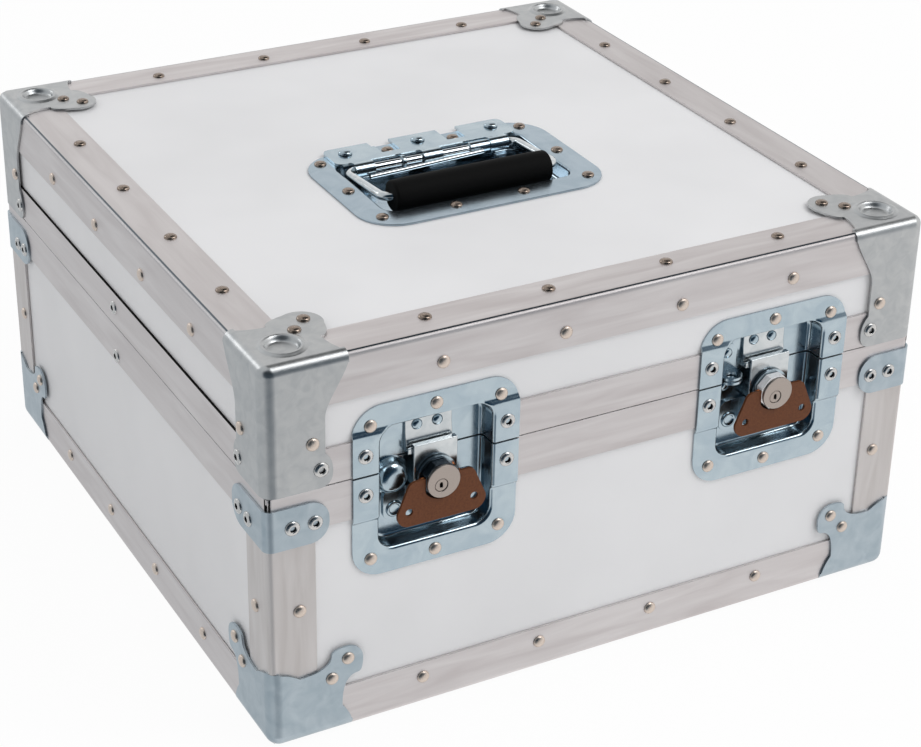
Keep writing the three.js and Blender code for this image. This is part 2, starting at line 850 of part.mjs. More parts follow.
// Domed buffer pressed out of the floor beside the barrel
function buffer() {
  const geometry = new THREE.SphereGeometry(bufferRadius, rodSides, rodSides / 2);
  geometry.scale(1, bufferHeight / bufferRadius, 1);
  geometry.translate(-bufferX, frontY + dishFloorDepth, dishMiddleZ + bufferRise);
  const back = frontY + dishFloorDepth + dishSheet / 2;
  return toSolid(geometry).subtract(block(
    -bufferX - bufferRadius,
    -bufferX + bufferRadius,
    back,
    back + cutOver,
    dishMiddleZ - cutOver,
    dishMiddleZ + cutOver,
  ));
}

// Padlock ear: a plate on the floor with a pierced tab that stands out at the parting line
function padlockEar(direction, plateLength) {
  const floorY = frontY + dishFloorDepth + dishSheet / 2;
  const edgeZ = partingZ + direction * (partingGap / 2 + earPartingGap);
  const tabZ = edgeZ + direction * earThickness;
  const endZ = edgeZ + direction * plateLength;
  const half = earWidth / 2;
  const roundTop = direction > 0;
  const plate = extruded(
    roundedRectangle(
      -earX - half,
      -earX + half,
      Math.min(edgeZ, endZ),
      Math.max(edgeZ, endZ),
      earCornerRadius,
      [!roundTop, !roundTop, roundTop, roundTop],
    ),
    'y',
    floorY - dishSheet / 2 - earThickness,
    floorY,
  );
  const reachY = frontY - wingFront + wingThickness + earWingGap;
  const tab = extruded(
    roundedRectangle(-earX - half, -earX + half, reachY, floorY, earTabRoundShare * half, [true, true, false, false]),
    'z',
    Math.min(edgeZ, tabZ),
    Math.max(edgeZ, tabZ),
  );
  const hole = cylinder(
    'z',
    earHoleRadius,
    -earX,
    frontY + dishFloorDepth - earHoleFromFloor,
    partingZ - cutOver,
    partingZ + cutOver,
    rodSides,
  );
  return plate.add(tab).subtract(hole);
}

// Draw hook: a flat plate that the crank pin lifts, with its top bent over the strike
function drawHook() {
  const y0 = frontY + hookFront;
  const z0 = lockZ - hookBottom;
  const z1 = lockZ + hookTop;
  const profile = polygon([
    [y0, z0],
    [y0 + hookThickness, z0],
    [y0 + hookThickness, z1 - hookThickness],
    [frontY + hookTip, z1 - hookThickness],
    [frontY + hookTip, z1],
    [y0, z1],
  ]);
  const half = hookWidth / 2;
  const outline = roundedRectangle(-half, half, z0, z1, hookCornerRadius, [true, true, false, false]);
  const crank = hookTravel / 2;
  const slotHalf = crank + crankPinRadius + shaftGap;
  const slotHeight = crankPinRadius + crankPinClearance;
  const slot = block(
    -slotHalf,
    slotHalf,
    y0 - cutOver,
    y0 + cutOver,
    lockZ - crank - slotHeight,
    lockZ - crank + slotHeight,
  );
  return extruded(profile, 'x', -half, half)
    .intersect(extruded(outline, 'y', y0 - cutOver, y0 + cutOver))
    .subtract(slot);
}

// Strike: a plate on the floor of the upper half, ramped out to an upturned lip
function strike() {
  const plateY = frontY + dishFloorDepth - seatGap;
  const faceY = plateY - strikeThickness;
  const rampY = frontY + strikeRampDepth;
  const lipY = frontY + strikeLipDepth;
  const z = dishMiddleZ;
  const ledgeTop = z + strikeLedge + strikeThickness;
  const profile = polygon([
    [plateY, z + strikeLedge],
    [plateY, z + strikeTop],
    [faceY, z + strikeTop],
    [faceY, z + strikeRampTop],
    [rampY, z + strikeRampFoot],
    [rampY, ledgeTop],
    [lipY + strikeLipThickness, ledgeTop],
    [lipY + strikeLipThickness, z + strikeLipTop],
    [lipY, z + strikeLipTop],
    [lipY, z + strikeLedge],
  ]);
  return extruded(profile, 'x', -strikeWidth / 2, strikeWidth / 2);
}

// Lock barrel: a faceted drum with a round face, a shaft through the bridge and a crank pin
function lockBarrel() {
  const faceY = frontY - barrelFace;
  const shoulderY = faceY + lockFaceHeight;
  const backFaceY = frontY + barrelBack;
  const drum = cylinder('y', barrelRadius, 0, lockZ, shoulderY, backFaceY, barrelFacets,
    Math.PI / barrelFacets);
  const head = cylinder('y', lockFaceRadius, 0, lockZ, faceY, shoulderY + seatGap, barrelSides);
  const shaftEnd = frontY + hookFront - shaftGap;
  const shaft = cylinder('y', shaftRadius, 0, lockZ, backFaceY - seatGap, shaftEnd, barrelSides);
  const pin = cylinder('y', crankPinRadius, 0, lockZ - hookTravel / 2, shaftEnd - seatGap,
    frontY + crankPinReach, rodSides);
  const axle = cylinder(
    'x',
    wingPinRadius,
    frontY - wingPivotDepth,
    lockZ,
    -wingEarInner - wingEarThickness - wingPinGap,
    wingEarInner + wingEarThickness + wingPinGap,
    rodSides,
  );
  const bore = cylinder('y', plugRadius + plugGap, -plugOffsetX, lockZ - plugOffsetZ, faceY - cutOver,
    faceY + plugInset + plugLength + plugGap, barrelSides);
  return joined([drum, head, shaft, pin, axle]).subtract(bore);
}

function keyPlug() {
  const faceY = frontY - barrelFace + plugInset;
  const z = lockZ - plugOffsetZ;
  const keyway = block(
    -plugOffsetX - keywayWidth / 2,
    -plugOffsetX + keywayWidth / 2,
    faceY - cutOver,
    faceY + keywayDepth,
    z - keywayHeight / 2,
    z + keywayHeight / 2,
  );
  return cylinder('y', plugRadius, -plugOffsetX, z, faceY, faceY + plugLength, barrelSides).subtract(keyway);
}

// Outline of the wing: two finger lobes below, two shoulders above and a notch for the barrel
function wingOutline() {
  const z = lockZ;
  const lobeZ = z - wingLobeDrop;
  const shoulderZ = z - wingShoulderDrop;
  const shape = new THREE.Shape();
  const notchStart = Math.acos(wingEarInner / wingNotchRadius);
  const lean = Math.atan2(wingLobeCentreX - wingShoulderX, wingLobeDrop - wingShoulderDrop);
  shape.moveTo(-wingLobeCentreX, lobeZ - wingLobeRadius);
  shape.lineTo(wingLobeCentreX, lobeZ - wingLobeRadius);
  shape.absarc(wingLobeCentreX, lobeZ, wingLobeRadius, -Math.PI / 2, lean, false);
  shape.absarc(wingShoulderX, shoulderZ, wingShoulderRadius, lean, Math.PI / 2, false);
  shape.lineTo(wingEarInner, shoulderZ + wingShoulderRadius);
  shape.lineTo(wingEarInner, z - wingNotchRadius * Math.sin(notchStart));
  shape.absarc(0, z, wingNotchRadius, -notchStart, Math.PI + notchStart, true);
  shape.lineTo(-wingEarInner, shoulderZ + wingShoulderRadius);
  shape.lineTo(-wingShoulderX, shoulderZ + wingShoulderRadius);
  shape.absarc(-wingShoulderX, shoulderZ, wingShoulderRadius, Math.PI / 2, Math.PI - lean, false);
  shape.absarc(-wingLobeCentreX, lobeZ, wingLobeRadius, Math.PI - lean, 1.5 * Math.PI, false);
  shape.closePath();
  for (const side of [-1, 1]) {
    shape.holes.push(circle(side * wingLobeCentreX, z - wingHoleDrop, wingHoleRadius));
  }
  return shape;
}

// Wing: the outlined plate with two ears turned back along the barrel's flats
function wing() {
  const plateBack = frontY - wingFront + wingThickness;
  const pivotY = frontY - wingPivotDepth;
  const plate = extruded(wingOutline(), 'y', frontY - wingFront, plateBack);
  const earOutline = roundedRectangle(
    frontY - wingFront,
    pivotY + wingEarReach,
    lockZ - wingEarHalfHeight,
    lockZ + wingEarHalfHeight,
    wingEarRoundShare * wingEarReach,
    [false, true, true, false],
  );
  const ears = [-1, 1].map((side) => {
    const inner = side * wingEarInner;
    const outer = side * (wingEarInner + wingEarThickness);
    return extruded(earOutline, 'x', Math.min(inner, outer), Math.max(inner, outer));
  });
  const bore = cylinder(
    'x',
    wingPinRadius + wingPinGap,
    pivotY,
    lockZ,
    -2 * wingEarInner,
    2 * wingEarInner,
    rodSides,
    Math.PI / rodSides,
  );
  return joined([plate, ...ears]).subtract(bore);
}

// The two catches: the left one has the buffer and the right one the padlock ears
const wholeDish = dish();
const lowerSide = block(-caseWidth, caseWidth, -caseDepth, caseDepth, -cutOver, baseTopZ);
const upperSide = block(-caseWidth, caseWidth, -caseDepth, caseDepth, lidBottomZ, caseHeight + cutOver);
const lowerDish = wholeDish.intersect(lowerSide).add(bridge());
const upperDish = wholeDish.intersect(upperSide);
const catches = [
  ['left', -1, lowerDish.add(buffer()), upperDish],
  ['right', 1, lowerDish.add(padlockEar(-1, earLowerPlate)), upperDish.add(padlockEar(1, earUpperPlate))],
];
for (const [side, sign, lower, upper] of catches) {
  const x = sign * catchX;
  place(`latch_${side}_lower_dish`, moved(lower, x, 0, 0), 'zinc');
  place(`latch_${side}_upper_dish`, moved(upper, x, 0, 0), 'zinc');
  place(`latch_${side}_strike`, moved(strike(), x, 0, 0), 'zinc');
  place(`latch_${side}_hook`, moved(drawHook(), x + lockOffset, 0, 0), 'zinc');
  place(`latch_${side}_barrel`, moved(lockBarrel(), x + lockOffset, 0, 0), 'chrome');
  place(`latch_${side}_key_plug`, moved(keyPlug(), x + lockOffset, 0, 0), 'lockFace');
  place(`latch_${side}_wing`, moved(wing(), x + lockOffset, 0, 0), 'bronzePaint');
}

// Handle dish: a flange on the lid with a pressed pocket for the fingers
function handleDish() {
  const outline = roundedRectangle(
    handleX - handleFlangeWidth / 2,
    handleX + handleFlangeWidth / 2,
    handleY - handleFlangeDepth / 2,
    handleY + handleFlangeDepth / 2,
    handleFlangeRadius,
  );
  const z0 = handleTopZ + seatGap;
  const flange = extruded(outline, 'z', z0, z0 + handleSheet);
  const shell = handlePocket(handleSheet, handleDishDepth + handleSheet, handleFloorRadius + handleSheet)
    .intersect(block(-sideX, sideX, frontY, backY, -cutOver, z0 + handleSheet));
  return flange.add(shell).subtract(handlePocket(0, handleDishDepth, handleFloorRadius));
}

const bailY = handleY + bailPivotBack;
const strapZ = handleTopZ + seatGap + handleSheet + seatGap;
const bailZ = strapZ - bailPivotDrop + handleStrapThickness;

// Strap riveted over the back of the flange, with lugs that hold the bail
function handleStrap() {
  const half = handleStrapLength / 2;
  const y0 = bailY + bailRodRadius + handleStrapFrontGap;
  const y1 = handleY + handleStrapBack;
  const outline = roundedRectangle(handleX - half, handleX + half, y0, y1, handleStrapRadius);
  const notches = [-1, 1].map((side) => block(
    handleX + side * handleStrapNotchX - handleStrapNotchWidth / 2,
    handleX + side * handleStrapNotchX + handleStrapNotchWidth / 2,
    y1 - handleStrapNotchDepth,
    y1 + cutOver,
    strapZ - cutOver,
    strapZ + cutOver,
  ));
  const plate = extruded(outline, 'z', strapZ, strapZ + handleStrapThickness).subtract(joined(notches));
  const lugs = [-1, 0, 1].map((step) => {
    const x = handleX + step * lugSpacing;
    const ring = cylinder('x', lugOuterRadius, bailY, bailZ, x - lugWidth / 2, x + lugWidth / 2, knuckleSides);
    const web = block(
      x - lugWidth / 2,
      x + lugWidth / 2,
      bailY,
      y0 + handleStrapThickness,
      bailZ,
      strapZ + handleStrapThickness,
    );
    return ring.add(web);
  });
  const bore = cylinder(
    'x',
    bailRodRadius + lugBoreGap,
    bailY,
    bailZ,
    handleX - handleStrapLength,
    handleX + handleStrapLength,
    knuckleSides,
  );
  return joined([plate, ...lugs]).subtract(bore);
}

// Bail: one bent rod, with its axle in the lugs and its far side through the grip
function handleBail() {
  const gripY = handleY - bailGripFront;
  const gripZ = caseHeight + bailGripRise;
  const ends = [
    new THREE.Vector3(handleX - bailHalfWidth, bailY, bailZ),
    new THREE.Vector3(handleX + bailHalfWidth, bailY, bailZ),
    new THREE.Vector3(handleX + bailHalfWidth, gripY, gripZ),
    new THREE.Vector3(handleX - bailHalfWidth, gripY, gripZ),
  ];
  const rods = ends.map((start, i) => {
    const end = ends[(i + 1) % ends.length];
    const path = new THREE.LineCurve3(start, end);
    const geometry = new THREE.CylinderGeometry(bailRodRadius, bailRodRadius, path.getLength(), rodSides);
    geometry.rotateX(Math.PI / 2);
    const aim = new THREE.Matrix4().lookAt(end, start, new THREE.Vector3(0, 0, 1));
    geometry.applyMatrix4(aim);
    geometry.translate(...path.getPoint(1 / 2).toArray());
    return toSolid(geometry);
  });
  const bends = ends.map((point) => {
    const geometry = new THREE.SphereGeometry(bailRodRadius, rodSides, rodSides / 2);
    geometry.translate(...point.toArray());
    return toSolid(geometry);
  });
  return joined([...rods, ...bends]);
}

function handleGrip() {
  const bore = bailRodRadius + gripBoreGap;
  const half = gripLength / 2;
  const profile = [
    [bore, -half],
    [gripRadius - gripEndRadius, -half],
    [gripRadius, -half + gripEndRadius],
    [gripRadius, half - gripEndRadius],
    [gripRadius - gripEndRadius, half],
    [bore, half],
    [bore, -half],
  ].map(([radius, along]) => new THREE.Vector2(radius, along));
  const geometry = new THREE.LatheGeometry(profile, gripSides);
  geometry.rotateZ(-Math.PI / 2);
  geometry.translate(handleX, handleY - bailGripFront, caseHeight + bailGripRise);
  return toSolid(geometry);
}

place('handle_dish', handleDish(), 'zinc');
place('handle_strap', handleStrap(), 'zinc');
place('handle_bail', handleBail(), 'chrome');
place('handle_grip', handleGrip(), 'rubber');

// One leaf of a stop hinge: direction 1 is the lid leaf and -1 the base leaf, at the middle of X
function hingeLeaf(direction) {
  const half = hingeWidth / 2;
  const near = hingeKnuckleRadius + hingeLeafClear;
  const y0 = backY + seatGap;
  const y1 = y0 + hingeLeafThickness;
  const level = (distance) => partingZ + direction * distance;
  const span = (a, b) => [Math.min(level(a), level(b)), Math.max(level(a), level(b))];
  const far = near + hingeLeafHeight - hingeKnuckleRadius;
  const roundTop = direction > 0;
  const plate = extruded(
    roundedRectangle(-half, half, ...span(near, far), hingeCornerRadius,
      [!roundTop, !roundTop, roundTop, roundTop]),
    'y',
    y0,
    y1,
  );
  const middle = hingeMiddleWidth / 2;
  const side = middle + hingeKnuckleGap;
  const spans = direction > 0 ? [[-middle, middle]] : [[-half, -side], [side, half]];
  const knuckles = spans.map(([x0, x1]) => {
    const barrel = cylinder('x', hingeKnuckleRadius, hingeAxisY, partingZ, x0, x1, knuckleSides);
    const arm = block(x0, x1, y0, y1, ...span(0, near + hingeLeafClear));
    return barrel.add(arm);
  });
  const whole = joined([plate, ...knuckles]);
  if (direction > 0) {
    return whole.subtract(cylinder('x', hingePinRadius + hingeBoreGap, hingeAxisY, partingZ,
      -hingeWidth, hingeWidth, knuckleSides));
  }
  const pin = cylinder('x', hingePinRadius, hingeAxisY, partingZ, -half, half, rodSides);
  return joined([whole, pin, hingeStop(y0, far)]);
}

// Stop tongue of the base leaf, turned up behind the knuckle to meet the open lid leaf
function hingeStop(leafY, leafFoot) {
  const open = THREE.MathUtils.degToRad(hingeOpenAngle);
  const leafFace = hingeAxisY - leafY - hingeLeafThickness;
  const reach = hingeAxisY + hingeStopReach;
  const outer = reach + hingeStopThickness;
  const middle = hingeStopReach + hingeStopThickness / 2;
  const rise = (leafFace + middle * Math.cos(open)) / Math.sin(open) - hingeKnuckleGap;
  const profile = polygon([
    [leafY, partingZ - hingeStopDrop - hingeStopThickness],
    [outer, partingZ - hingeStopDrop - hingeStopThickness],
    [outer, partingZ + rise],
    [reach, partingZ + rise],
    [reach, partingZ - hingeStopDrop],
    [leafY, partingZ - hingeStopDrop],
  ]);
  return extruded(profile, 'x', -hingeStopWidth / 2, hingeStopWidth / 2);
}

for (const [name, sign] of [['left', -1], ['right', 1]]) {
  const x = sign * hingeX;
  place(`hinge_${name}_base_leaf`, moved(hingeLeaf(-1), x, 0, 0), 'zinc');
  place(`hinge_${name}_lid_leaf`, moved(hingeLeaf(1), x, 0, 0), 'zinc');
}

// Foam pads on the floor and under the lid
function foamPads() {
  const inset = wallInset + padSideGap;
  const floorZ = skinInset + wallThickness + fitGap;
  const roofZ = handleTopZ - wallThickness - fitGap;
  const floorPad = block(-sideX + inset, sideX - inset, frontY + inset, backY - inset, floorZ,
    floorZ + basePadThickness);
  const lidPad = block(-sideX + inset, sideX - inset, frontY + inset, backY - inset,
    roofZ - lidPadThickness, roofZ);
  place('base_foam_pad', floorPad, 'foam');
  place('lid_foam_pad', lidPad.subtract(handlePocket(handleSheet + padRelief, handleDishDepth + padRelief)), 'foam');
}

foamPads();

export default group;
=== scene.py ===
# %% [markdown]
# # Lens case
# A hard case for camera lenses: white laminated plywood held in aluminium edging, with pressed
# steel corners, two catches with key locks in recessed dishes and a handle sunk in the lid.
# The solid model holds every size and joint. This script gives each piece its finish, and
# models again those pieces whose bends and roundings have to show in a close picture.

import itertools
import math

import bpy
from mathutils import Matrix, Vector


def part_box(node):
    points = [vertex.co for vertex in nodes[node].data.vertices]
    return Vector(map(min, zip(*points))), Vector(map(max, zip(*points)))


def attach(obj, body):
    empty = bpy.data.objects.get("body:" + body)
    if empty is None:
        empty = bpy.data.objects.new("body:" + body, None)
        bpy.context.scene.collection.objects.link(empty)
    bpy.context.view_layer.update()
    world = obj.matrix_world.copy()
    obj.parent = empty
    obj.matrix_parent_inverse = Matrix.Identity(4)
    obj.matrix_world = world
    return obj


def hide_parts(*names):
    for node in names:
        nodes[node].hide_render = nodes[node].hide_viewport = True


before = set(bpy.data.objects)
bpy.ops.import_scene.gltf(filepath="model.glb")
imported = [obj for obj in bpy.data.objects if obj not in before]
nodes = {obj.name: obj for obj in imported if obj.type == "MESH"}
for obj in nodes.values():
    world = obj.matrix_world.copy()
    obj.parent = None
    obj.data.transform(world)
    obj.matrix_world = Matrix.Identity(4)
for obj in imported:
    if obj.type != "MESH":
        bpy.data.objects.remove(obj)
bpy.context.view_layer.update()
print("solid nodes:", len(nodes))

# %% [markdown]
# The faces of the case are read from the solids, so that nothing here has to be fitted. The
# front looks along -Y. Lengths are metres, and MM turns a size in millimetres into them.

# %% Planes of the case
MM = 0.001
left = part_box("top_angle_left")[0].x
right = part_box("top_angle_right")[1].x
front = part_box("top_angle_front")[0].y
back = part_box("top_angle_back")[1].y
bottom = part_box("bottom_angle_front")[0].z
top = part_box("top_angle_front")[1].z
lid_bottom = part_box("lid_groove_frame")[0].z
parting_gap = 0.4 * MM
parting = lid_bottom - parting_gap / 2
base_top = parting - parting_gap / 2
middle_y = (front + back) / 2
x_sides = (("left", left), ("right", right))
y_sides = (("front", front), ("back", back))
corners = {"front_left": (1, 1), "front_right": (-1, 1), "back_left": (1, -1), "back_right": (-1, -1)}
print("case", [round(size / MM, 1) for size in (right - left, back - front, top - bottom)])

# %% [markdown]
# Operators act on whatever is selected, so each step starts by selecting one object alone, and
# edit mode is set to select faces. A shape is lofted as by hand: a disc of points is placed on
# the first outline and then extruded from outline to outline. Both ends stay closed unless
# an open sheet is asked for.

# %% Helpers for making shapes
bpy.context.tool_settings.mesh_select_mode = (False, False, True)


def to_mode(mode):
    bpy.ops.object.mode_set(mode=mode)


def deselect():
    if bpy.context.object and bpy.context.object.mode != "OBJECT":
        to_mode("OBJECT")
    bpy.ops.object.select_all(action="DESELECT")


def take(piece):
    deselect()
    piece.select_set(True)
    bpy.context.view_layer.objects.active = piece


def edit_all(piece):
    take(piece)
    to_mode("EDIT")
    bpy.ops.mesh.select_all(action="SELECT")


def smooth(piece, degrees):
    take(piece)
    bpy.ops.object.shade_smooth_by_angle(angle=math.radians(degrees))
    return piece


def tidy_mesh(piece, merge=0.001 * MM):
    edit_all(piece)
    bpy.ops.mesh.remove_doubles(threshold=merge)
    bpy.ops.mesh.dissolve_degenerate(threshold=merge)
    bpy.ops.mesh.select_all(action="SELECT")
    bpy.ops.mesh.normals_make_consistent(inside=False)
    to_mode("OBJECT")


def loft(name, rings, open_start=False, open_end=False):
    deselect()
    count = len(rings[0])
    bpy.ops.mesh.primitive_circle_add(vertices=count, fill_type="NGON")
    piece = bpy.context.object
    piece.name = name
    mesh = piece.data
    for number, ring in enumerate(rings):
        if number:
            to_mode("EDIT")
            bpy.ops.mesh.extrude_region_move()
            to_mode("OBJECT")
        cap = next(face for face in mesh.polygons if face.select)
        for index, point in zip(cap.vertices, ring):
            mesh.vertices[index].co = point
    for face in mesh.polygons:
        at_start = len(face.vertices) == count and min(face.vertices) == 0
        face.select = (open_end and face.select) or (open_start and at_start)
    if open_start or open_end:
        to_mode("EDIT")
        bpy.ops.mesh.delete(type="ONLY_FACE")
        to_mode("OBJECT")
    tidy_mesh(piece)
    return piece


def case_cube(low, high):
    deselect()
    bpy.ops.mesh.primitive_cube_add(size=1)
    cube = bpy.context.object
    for vertex in cube.data.vertices:
        vertex.co = [a if side < 0 else b for a, b, side in zip(low, high, vertex.co)]
    return cube


def run_modifier(piece, kind, **settings):
    take(piece)
    bpy.ops.object.modifier_add(type=kind)
    modifier = piece.modifiers[-1]
    for name, value in settings.items():
        setattr(modifier, name, value)
    bpy.ops.object.modifier_apply(modifier=modifier.name)


def combine(piece, tool, operation):
    run_modifier(piece, "BOOLEAN", operation=operation, object=tool, solver="EXACT")
    bpy.data.objects.remove(tool)
    return piece


def cut(piece, tool):
    return combine(piece, tool, "DIFFERENCE")


def weld(piece, tool):
    return combine(piece, tool, "UNION")


def soften(piece, millimetres, segments=2, edge_angle=40, smooth_angle=35):
    run_modifier(piece, "BEVEL", width=millimetres * MM, segments=segments, limit_method="ANGLE",
                 angle_limit=math.radians(edge_angle))
    return smooth(piece, smooth_angle)


def bisect(piece, point, normal, clear_outer=False, clear_inner=False, fill=False):
    edit_all(piece)
    bpy.ops.mesh.bisect(plane_co=point, plane_no=normal, clear_outer=clear_outer,
                        clear_inner=clear_inner, use_fill=fill, threshold=0.0001 * MM)
    to_mode("OBJECT")


def duplicate(piece, name):
    new = piece.copy()
    new.data = piece.data.copy()
    new.name = name
    bpy.context.scene.collection.objects.link(new)
    return new


def merged_copy(name, node):
    piece = duplicate(nodes[node], name)
    piece.parent = None
    for key in list(piece.keys()):
        del piece[key]
    tidy_mesh(piece, merge=0.002 * MM)
    edit_all(piece)
    bpy.ops.mesh.dissolve_limited(angle_limit=math.radians(1))
    to_mode("OBJECT")
    return piece


def copy_moved(piece, name, matrix):
    new = duplicate(piece, name)
    new.data.transform(matrix)
    if matrix.determinant() < 0:
        new.data.flip_normals()
    return new


def join(name, parts):
    take(parts[0])
    for part in parts:
        part.select_set(True)
    bpy.ops.object.join()
    parts[0].name = name
    return parts[0]


# %% [markdown]
# Outlines are lists of points on a flat face: a straight stretch needs its two ends, and a
# round one is worked out as an arc or a curve. An outline can lie on three kinds of face.

# %% Helpers for outlines
def arc(centre, radius, start, end, steps=8):
    angles = [math.radians(start + (end - start) * i / steps) for i in range(steps + 1)]
    return [(centre[0] + radius * math.cos(t), centre[1] + radius * math.sin(t)) for t in angles]


def circle(centre, radius, sides=48):
    return arc(centre, radius, 0, 360 - 360 / sides, sides - 1)


def curve(*pulls, steps=8):
    points = []
    for i in range(steps + 1):
        line = [Vector(pull) for pull in pulls]
        while len(line) > 1:
            line = [a.lerp(b, i / steps) for a, b in zip(line, line[1:])]
        points.append(tuple(line[0]))
    return points


def rectangle(a0, a1, b0, b1):
    return [(a0, b0), (a1, b0), (a1, b1), (a0, b1)]


def rounded(a0, a1, b0, b1, radius, steps=8):
    centres = rectangle(a0 + radius, a1 - radius, b0 + radius, b1 - radius)
    points = []
    for centre, turn in zip(centres, (180, 270, 0, 90)):
        points += arc(centre, radius, turn, turn + 90, steps)
    return points


def on_front(points, y):
    return [Vector((a, y, b)) for a, b in points]


def on_top(points, z):
    return [Vector((a, b, z)) for a, b in points]


def on_side(points, x):
    return [Vector((x, a, b)) for a, b in points]


def slab(name, outline, face, start, end):
    return loft(name, [face(outline, start), face(outline, end)])


def round_bar(name, face, centre, radius, start, end, sides=32):
    return slab(name, circle(centre, radius, sides), face, start, end)


# %% [markdown]
# A finish starts from what the real one is. Colours are written as on a screen and turned to
# linear light by one function. Patterns read Object coordinates, which are metres here, and the
# size of a pattern is given in millimetres.

# %% Helpers for finishes
def linear(colour):
    parts = [int(colour[i:i + 2], 16) / 255 for i in (0, 2, 4)]
    return tuple(c / 12.92 if c <= 0.04045 else ((c + 0.055) / 1.055) ** 2.4 for c in parts) + (1.0,)


def add_node(tree, kind, output, inputs=None, **settings):
    made = tree.nodes.new("ShaderNode" + kind)
    for name, value in settings.items():
        setattr(made, name, value)
    for name, value in (inputs or {}).items():
        if isinstance(value, bpy.types.NodeSocket):
            tree.links.new(value, made.inputs[name])
        else:
            made.inputs[name].default_value = linear(value) if isinstance(value, str) else value
    return made.outputs[output]


def ramp(tree, share, stops):
    made = add_node(tree, "ValToRGB", "Color", {"Fac": share})
    elements = made.node.color_ramp.elements
    while len(elements) < len(stops):
        elements.new(0.5)
    for element, (position, colour) in zip(elements, stops):
        element.position = position
        element.color = linear(colour) if isinstance(colour, str) else (colour, colour, colour, 1.0)
    return made


def mix_colours(tree, share, first, second):
    return add_node(tree, "Mix", 2, {"Factor": share, 6: first, 7: second}, data_type="RGBA")


def mix_shaders(tree, share, first, second):
    return add_node(tree, "MixShader", "Shader", {"Fac": share, 1: first, 2: second})


def spread(tree, value, start, end, low=0.0, high=1.0):
    limits = {"From Min": start, "From Max": end, "To Min": low, "To Max": high}
    return add_node(tree, "MapRange", "Result", {"Value": value, **limits})


def start_finish(name, metallic=0.0, roughness=0.5, shine=0.5):
    material = bpy.data.materials.new(name)
    material.use_nodes = True
    tree = material.node_tree
    shader = tree.nodes["Principled BSDF"]
    for socket, value in (("Metallic", metallic), ("Roughness", roughness), ("Specular IOR Level", shine)):
        shader.inputs[socket].default_value = value
    return material, tree, shader, add_node(tree, "TexCoord", "Object")


def noise(tree, place, millimetres, detail=2.0, distortion=0.0):
    values = {"Vector": place, "Scale": 1 / (millimetres * MM), "Detail": detail, "Distortion": distortion}
    return add_node(tree, "TexNoise", "Fac", values)


def blend_colours(tree, shader, share, low, high, start=0.35, end=0.65):
    tree.links.new(ramp(tree, share, ((start, low), (end, high))), shader.inputs["Base Color"])


def vary_roughness(tree, shader, share, smoothest, roughest):
    tree.links.new(spread(tree, share, 0.0, 1.0, smoothest, roughest), shader.inputs["Roughness"])


def dent(tree, shader, height, millimetres, strength):
    values = {"Height": height, "Distance": millimetres * MM, "Strength": strength}
    tree.links.new(add_node(tree, "Bump", "Normal", values), shader.inputs["Normal"])


# %% [markdown]
# The walls are plywood faced with white high-pressure laminate. It is pressed with a fine
# pebble, about half a millimetre across, which takes the mirror out of the plastic and leaves a
# soft even sheen. A very faint cloudiness over a hand's breadth keeps it from looking painted.

# %% White laminate
def make_laminate():
    material, tree, shader, place = start_finish("white_hpl_laminate")
    blend_colours(tree, shader, noise(tree, place, 90), "e0e0e1", "e5e5e6")
    vary_roughness(tree, shader, noise(tree, place, 14), 0.38, 0.47)
    dent(tree, shader, noise(tree, place, 0.7, detail=3), 0.02, strength=0.35)
    return material


laminate = make_laminate()

# %% [markdown]
# The edging is extruded aluminium as it leaves the die. Fine die lines run along each bar, with
# longer cloudy streaks and a little staining between them. The pattern is noise drawn out along
# the bar, so there is one finish for each of the three directions that bars run in. Along the
# upper part of each rounded edge, picked by how far its normal looks up, a dark line is painted: painted
# shade.

# %% Mill-finish aluminium
edge_shade_stops = ((0.3, 0.0), (0.5, 0.3), (0.88, 0.36), (0.91, 1.0), (0.98, 1.0), (0.992, 0.0))


def make_aluminium(run, low, high, painted_edge_shade):
    material, tree, shader, place = start_finish(f"mill_aluminium_{run}", metallic=1.0)

    def drawn_out(share):
        scale = [share if axis == run else 1 for axis in "xyz"]
        return add_node(tree, "Mapping", "Vector", {"Vector": place, "Scale": scale})

    die_lines = noise(tree, drawn_out(0.012), 1.1, detail=4)
    streaks = noise(tree, drawn_out(0.12), 9, detail=3, distortion=0.6)
    clean = ramp(tree, streaks, ((0.3, low), (0.7, high)))
    # Painted shade along the upper part of each rounded edge, picked by how far the normal looks up.
    upward = add_node(tree, "SeparateXYZ", "Z", {"Vector": add_node(tree, "TexCoord", "Normal")})
    edge_shade_share = ramp(tree, upward, edge_shade_stops)
    tree.links.new(mix_colours(tree, edge_shade_share, clean, painted_edge_shade), shader.inputs["Base Color"])
    vary_roughness(tree, shader, die_lines, 0.42, 0.56)
    dent(tree, shader, die_lines, 0.012, strength=0.5)
    return material


aluminium = {
    "x": make_aluminium("x", "d4cdcc", "e5e0df", "39424a"),
    "y": make_aluminium("y", "d2cccb", "ded9d8", "6c747a"),
    "z": make_aluminium("z", "cdc7c4", "dcd7d5", "39424a"),
}

# %% [markdown]
# The stampings are mild steel with bright zinc plate: a cold blue-grey mirror, slightly clouded.
# The big corners are drawn deep, which stretches the sheet and leaves them more satin than the
# flat dishes, so one recipe is used with five sets of values. Two of them are the bright plate made
# darker and lighter: painted shade on the handle's dish, painted light on the strikes and hooks.

# %% Bright zinc plate
def make_zinc(name, low, high, smoothest, roughest, cloud_size):
    material, tree, shader, place = start_finish(name, metallic=1.0)
    blend_colours(tree, shader, noise(tree, place, cloud_size, detail=4, distortion=0.8), low, high)
    vary_roughness(tree, shader, noise(tree, place, 4, detail=3), smoothest, roughest)
    dent(tree, shader, noise(tree, place, 2.5, detail=2), 0.01, strength=0.4)
    return material


